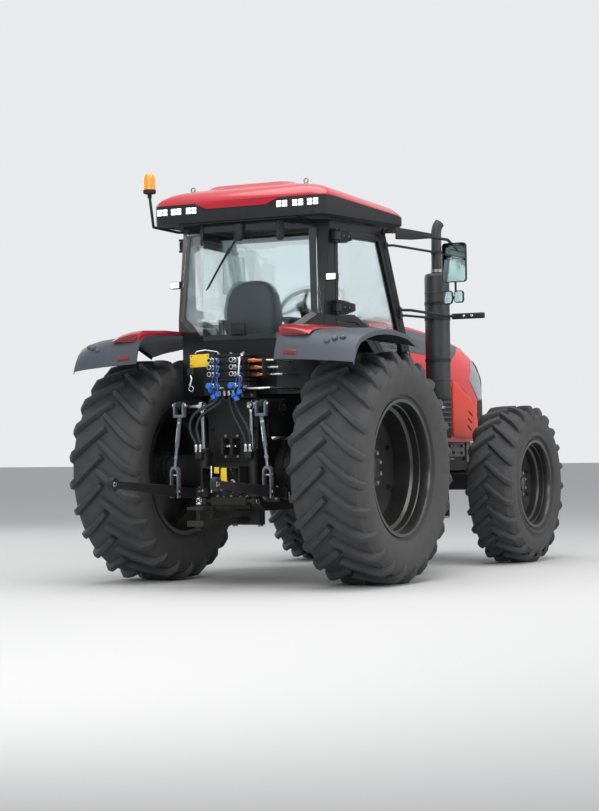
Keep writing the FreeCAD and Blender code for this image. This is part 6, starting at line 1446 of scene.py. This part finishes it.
# the caps hang from their straps, at their own heights and a little askew
for y, z, dy, low, lean in ((30, 1690, 30, 1470, 0.3), (30, 1638, -26, 1440, -0.4), (30, 1586, 8, 1418, 0.15),
                            (-160, 1690, -24, 1452, -0.2), (-160, 1638, 22, 1428, 0.5),
                            (-160, 1586, 0, 1404, -0.1)):
    beside = 1 if dy > 0 else -1
    valves.bent([(-632, y + 20 * beside, z), (-650, y + dy * 0.9 + 12 * beside, z * 0.7 + low * 0.3),
                 (-658, y + dy, low + 26)], 3.2, 30, cap_blue, 8)
    way = Vector((math.sin(lean), 0.35, math.cos(lean))).normalized()
    valves.collar((-658, y + dy, low), way, ((-16, 19), (-14, 21), (12, 21), (15, 18), (17, 8), (26, 7),
                                             (27, 3)), cap_blue, 20)
for y in (30, -160):
    valves.collar((0, y, 1500), (1, 0, 0), ((-722, 20), (-724, 23), (-748, 23), (-753, 20), (-755, 6)),
                  cap_blue, 24)
valves.bent([(-597, -188, 1728), (-700, -196, 1744), (-702, -206, 1560), (-664, -184, 1534),
             (-612, -176, 1532)], 8.5, 34, plated, 14)
valves.rod((-600, -188.5, 1729), (-622, -190.5, 1732), 14, plated, 6)
valves.bent([(-611, 96, 1489), (-611, -300, 1486), (-560, -420, 1480), (-252, -470, 1474)], 9.5,
            70, plated, 14)
for y in (70, -210):
    valves.collar((-611, y, 1488), (0, 1, 0), ((-16, 10), (-15, 15), (15, 15), (16, 10)), plated, 6)
valves.bent([(-560, 40, 1741), (-560, 40, 1775), (-596, 150, 1778), (-606, 225, 1778), (-606, 225, 1750)],
            5.5, 18, plated, 10)
valves.slab("x", [(56, 1640), (278, 1628), (284, 1752), (56, 1756)], -607, -602, cast_black, soft=1.5)
valves.block((-602, -560), (57.5, 63), (1650, 1740), cast_black, soft=1)
valves.slab("x", [(103, 1651), (268, 1646), (270, 1742), (103, 1746)], -611, -607, tab_yellow, soft=1)
valves.bolts([(-611, y, z) for y in (116, 256) for z in (1662, 1732)], "x", -1, 8, dull_steel)
valves.block((-640, -606), (222, 282), (1588, 1640), moulded_black, soft=8)
valves.bent([(-622, 262, 1606), (-646, 266, 1560), (-646, 250, 1506)], 9, 30, plated, 12)
valves.rings([((-646, 240 + 20 * math.cos(t), 1486 + 20 * math.sin(t)), 3)
              for t in (0.25 * k for k in range(26))], plated, 8, capped=False)
for i, z in enumerate((1686, 1634, 1582)):
    start_x, out = -560 + 30 * i, 430 + 20 * i
    wall_x = -325 + 0.5006 * (out - 328)
    valves.collar((start_x, 0, z), (0, -1, 0), ((208, 15), (232, 15), (233, 13), (246, 13), (247, 16),
                                                (272, 16), (273, 11), (296, 10)), copper, 6)
    valves.bent([(start_x, -250, z), (start_x, -out, z), (wall_x, -out, z)], 8, 26, plated, 14)
    valves.collar((start_x, 0, z), (0, -1, 0), ((306, 8.2), (307, 12), (330, 12), (331, 8.2)), copper, 16)
    valves.collar((wall_x - 12, -out, z), (1, 0, 0), ((0, 8.2), (1, 14), (9, 14), (11.5, 12)), moulded_black,
                  16)
valves.slab("y", [(-592, 1560), (-478, 1560), (-474, 1708), (-588, 1708)], -350, -342, cast_black, soft=2)
for y in (-80, -40, 0, 40):
    valves.rod((-560, y, 1467), (-560, y, 1452), 14, plated, 6)
    valves.collar((-560, y, 0), upward, ((1452, 13), (1430, 13), (1428, 11.5)), plated, 20)
valves.done("chassis", "bright_steel", ("remote_valves",))

# Port blocks on the assist cylinders' glands, with the steel ends that the hoses are crimped into.
ports = Form("cylinder_port_blocks", soft=2)
ports.block((-602, -556), (186, 244), (958, 1010), cast_black, soft=4)
for y in (196, 234):
    ports.rod((-594, y, 1010), (-594, y, 1026), 14, plated, 6)
    ports.collar((-594, y, 0), upward, ((1026, 11), (1030, 13.5), (1062, 13.5), (1066, 12)), plated, 20)
ports.mirror()
ports.done("cylinder_barrels_body", "bright_steel")

# Hoses: wire-braided rubber with a ribbed plastic guard wound over it, from the stack down to the cylinders
# in pairs. Each pair falls in a loose bow, and no two hoses lie quite alike.
hose_guard = finish("hose_guard", (0.020, 0.021, 0.023), 0.45, drift=0.15, mottle=20, bump=0)
nodes, links = hose_guard.node_tree.nodes, hose_guard.node_tree.links
ribs = add_node(nodes, "TexWave", Scale=34, Distortion=0.4)
ribs.bands_direction = "Z"
links.new(nodes.new("ShaderNodeTexCoord").outputs["Object"], ribs.inputs["Vector"])
add_relief(nodes, links, ribs.outputs["Fac"], 0.9, 0.003)
hose_routes = (("left_outer", 0.520, ((-560, 40, 1440), (-574, 52, 1396), (-590, 108, 1362),
                                      (-602, 196, 1332), (-608, 262, 1276), (-608, 284, 1206),
                                      (-603, 268, 1134), (-596, 240, 1090), (-594, 234, 1056))),
               ("left_inner", 0.490, ((-560, 0, 1440), (-572, 14, 1396), (-586, 66, 1352), (-598, 142, 1314),
                                      (-604, 202, 1262), (-604, 226, 1194), (-600, 214, 1128),
                                      (-595, 200, 1088), (-594, 196, 1056))),
               ("right_inner", 0.423, ((-560, -40, 1440), (-566, -46, 1398), (-580, -66, 1332),
                                       (-592, -106, 1262), (-600, -148, 1196), (-600, -182, 1132),
                                       (-596, -195, 1090), (-594, -196, 1056))),
               ("right_outer", 0.430, ((-560, -80, 1440), (-566, -88, 1398), (-582, -116, 1336),
                                       (-596, -166, 1268), (-604, -214, 1200), (-604, -240, 1134),
                                       (-597, -238, 1090), (-594, -234, 1056))))
hose_thick = 0.023
for name, length, route in hose_routes:
    line = bpy.data.curves.new("hose_" + name, "CURVE")
    line.dimensions = "3D"
    line.bevel_depth = hose_thick / 2
    line.bevel_resolution = 5
    line.resolution_u = 16
    line.use_fill_caps = True
    run = line.splines.new("NURBS")
    run.points.add(len(route) - 1)
    for point, place in zip(run.points, route):
        point.co = in_metres(*place) + (1,)
    run.order_u = 3
    run.use_endpoint_u = True
    line.materials.append(hose_guard)
    hose = bpy.data.objects.new("hose_" + name, line)
    bpy.context.scene.collection.objects.link(hose)
    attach(hose, "chassis")
    x, y, z = route[0]
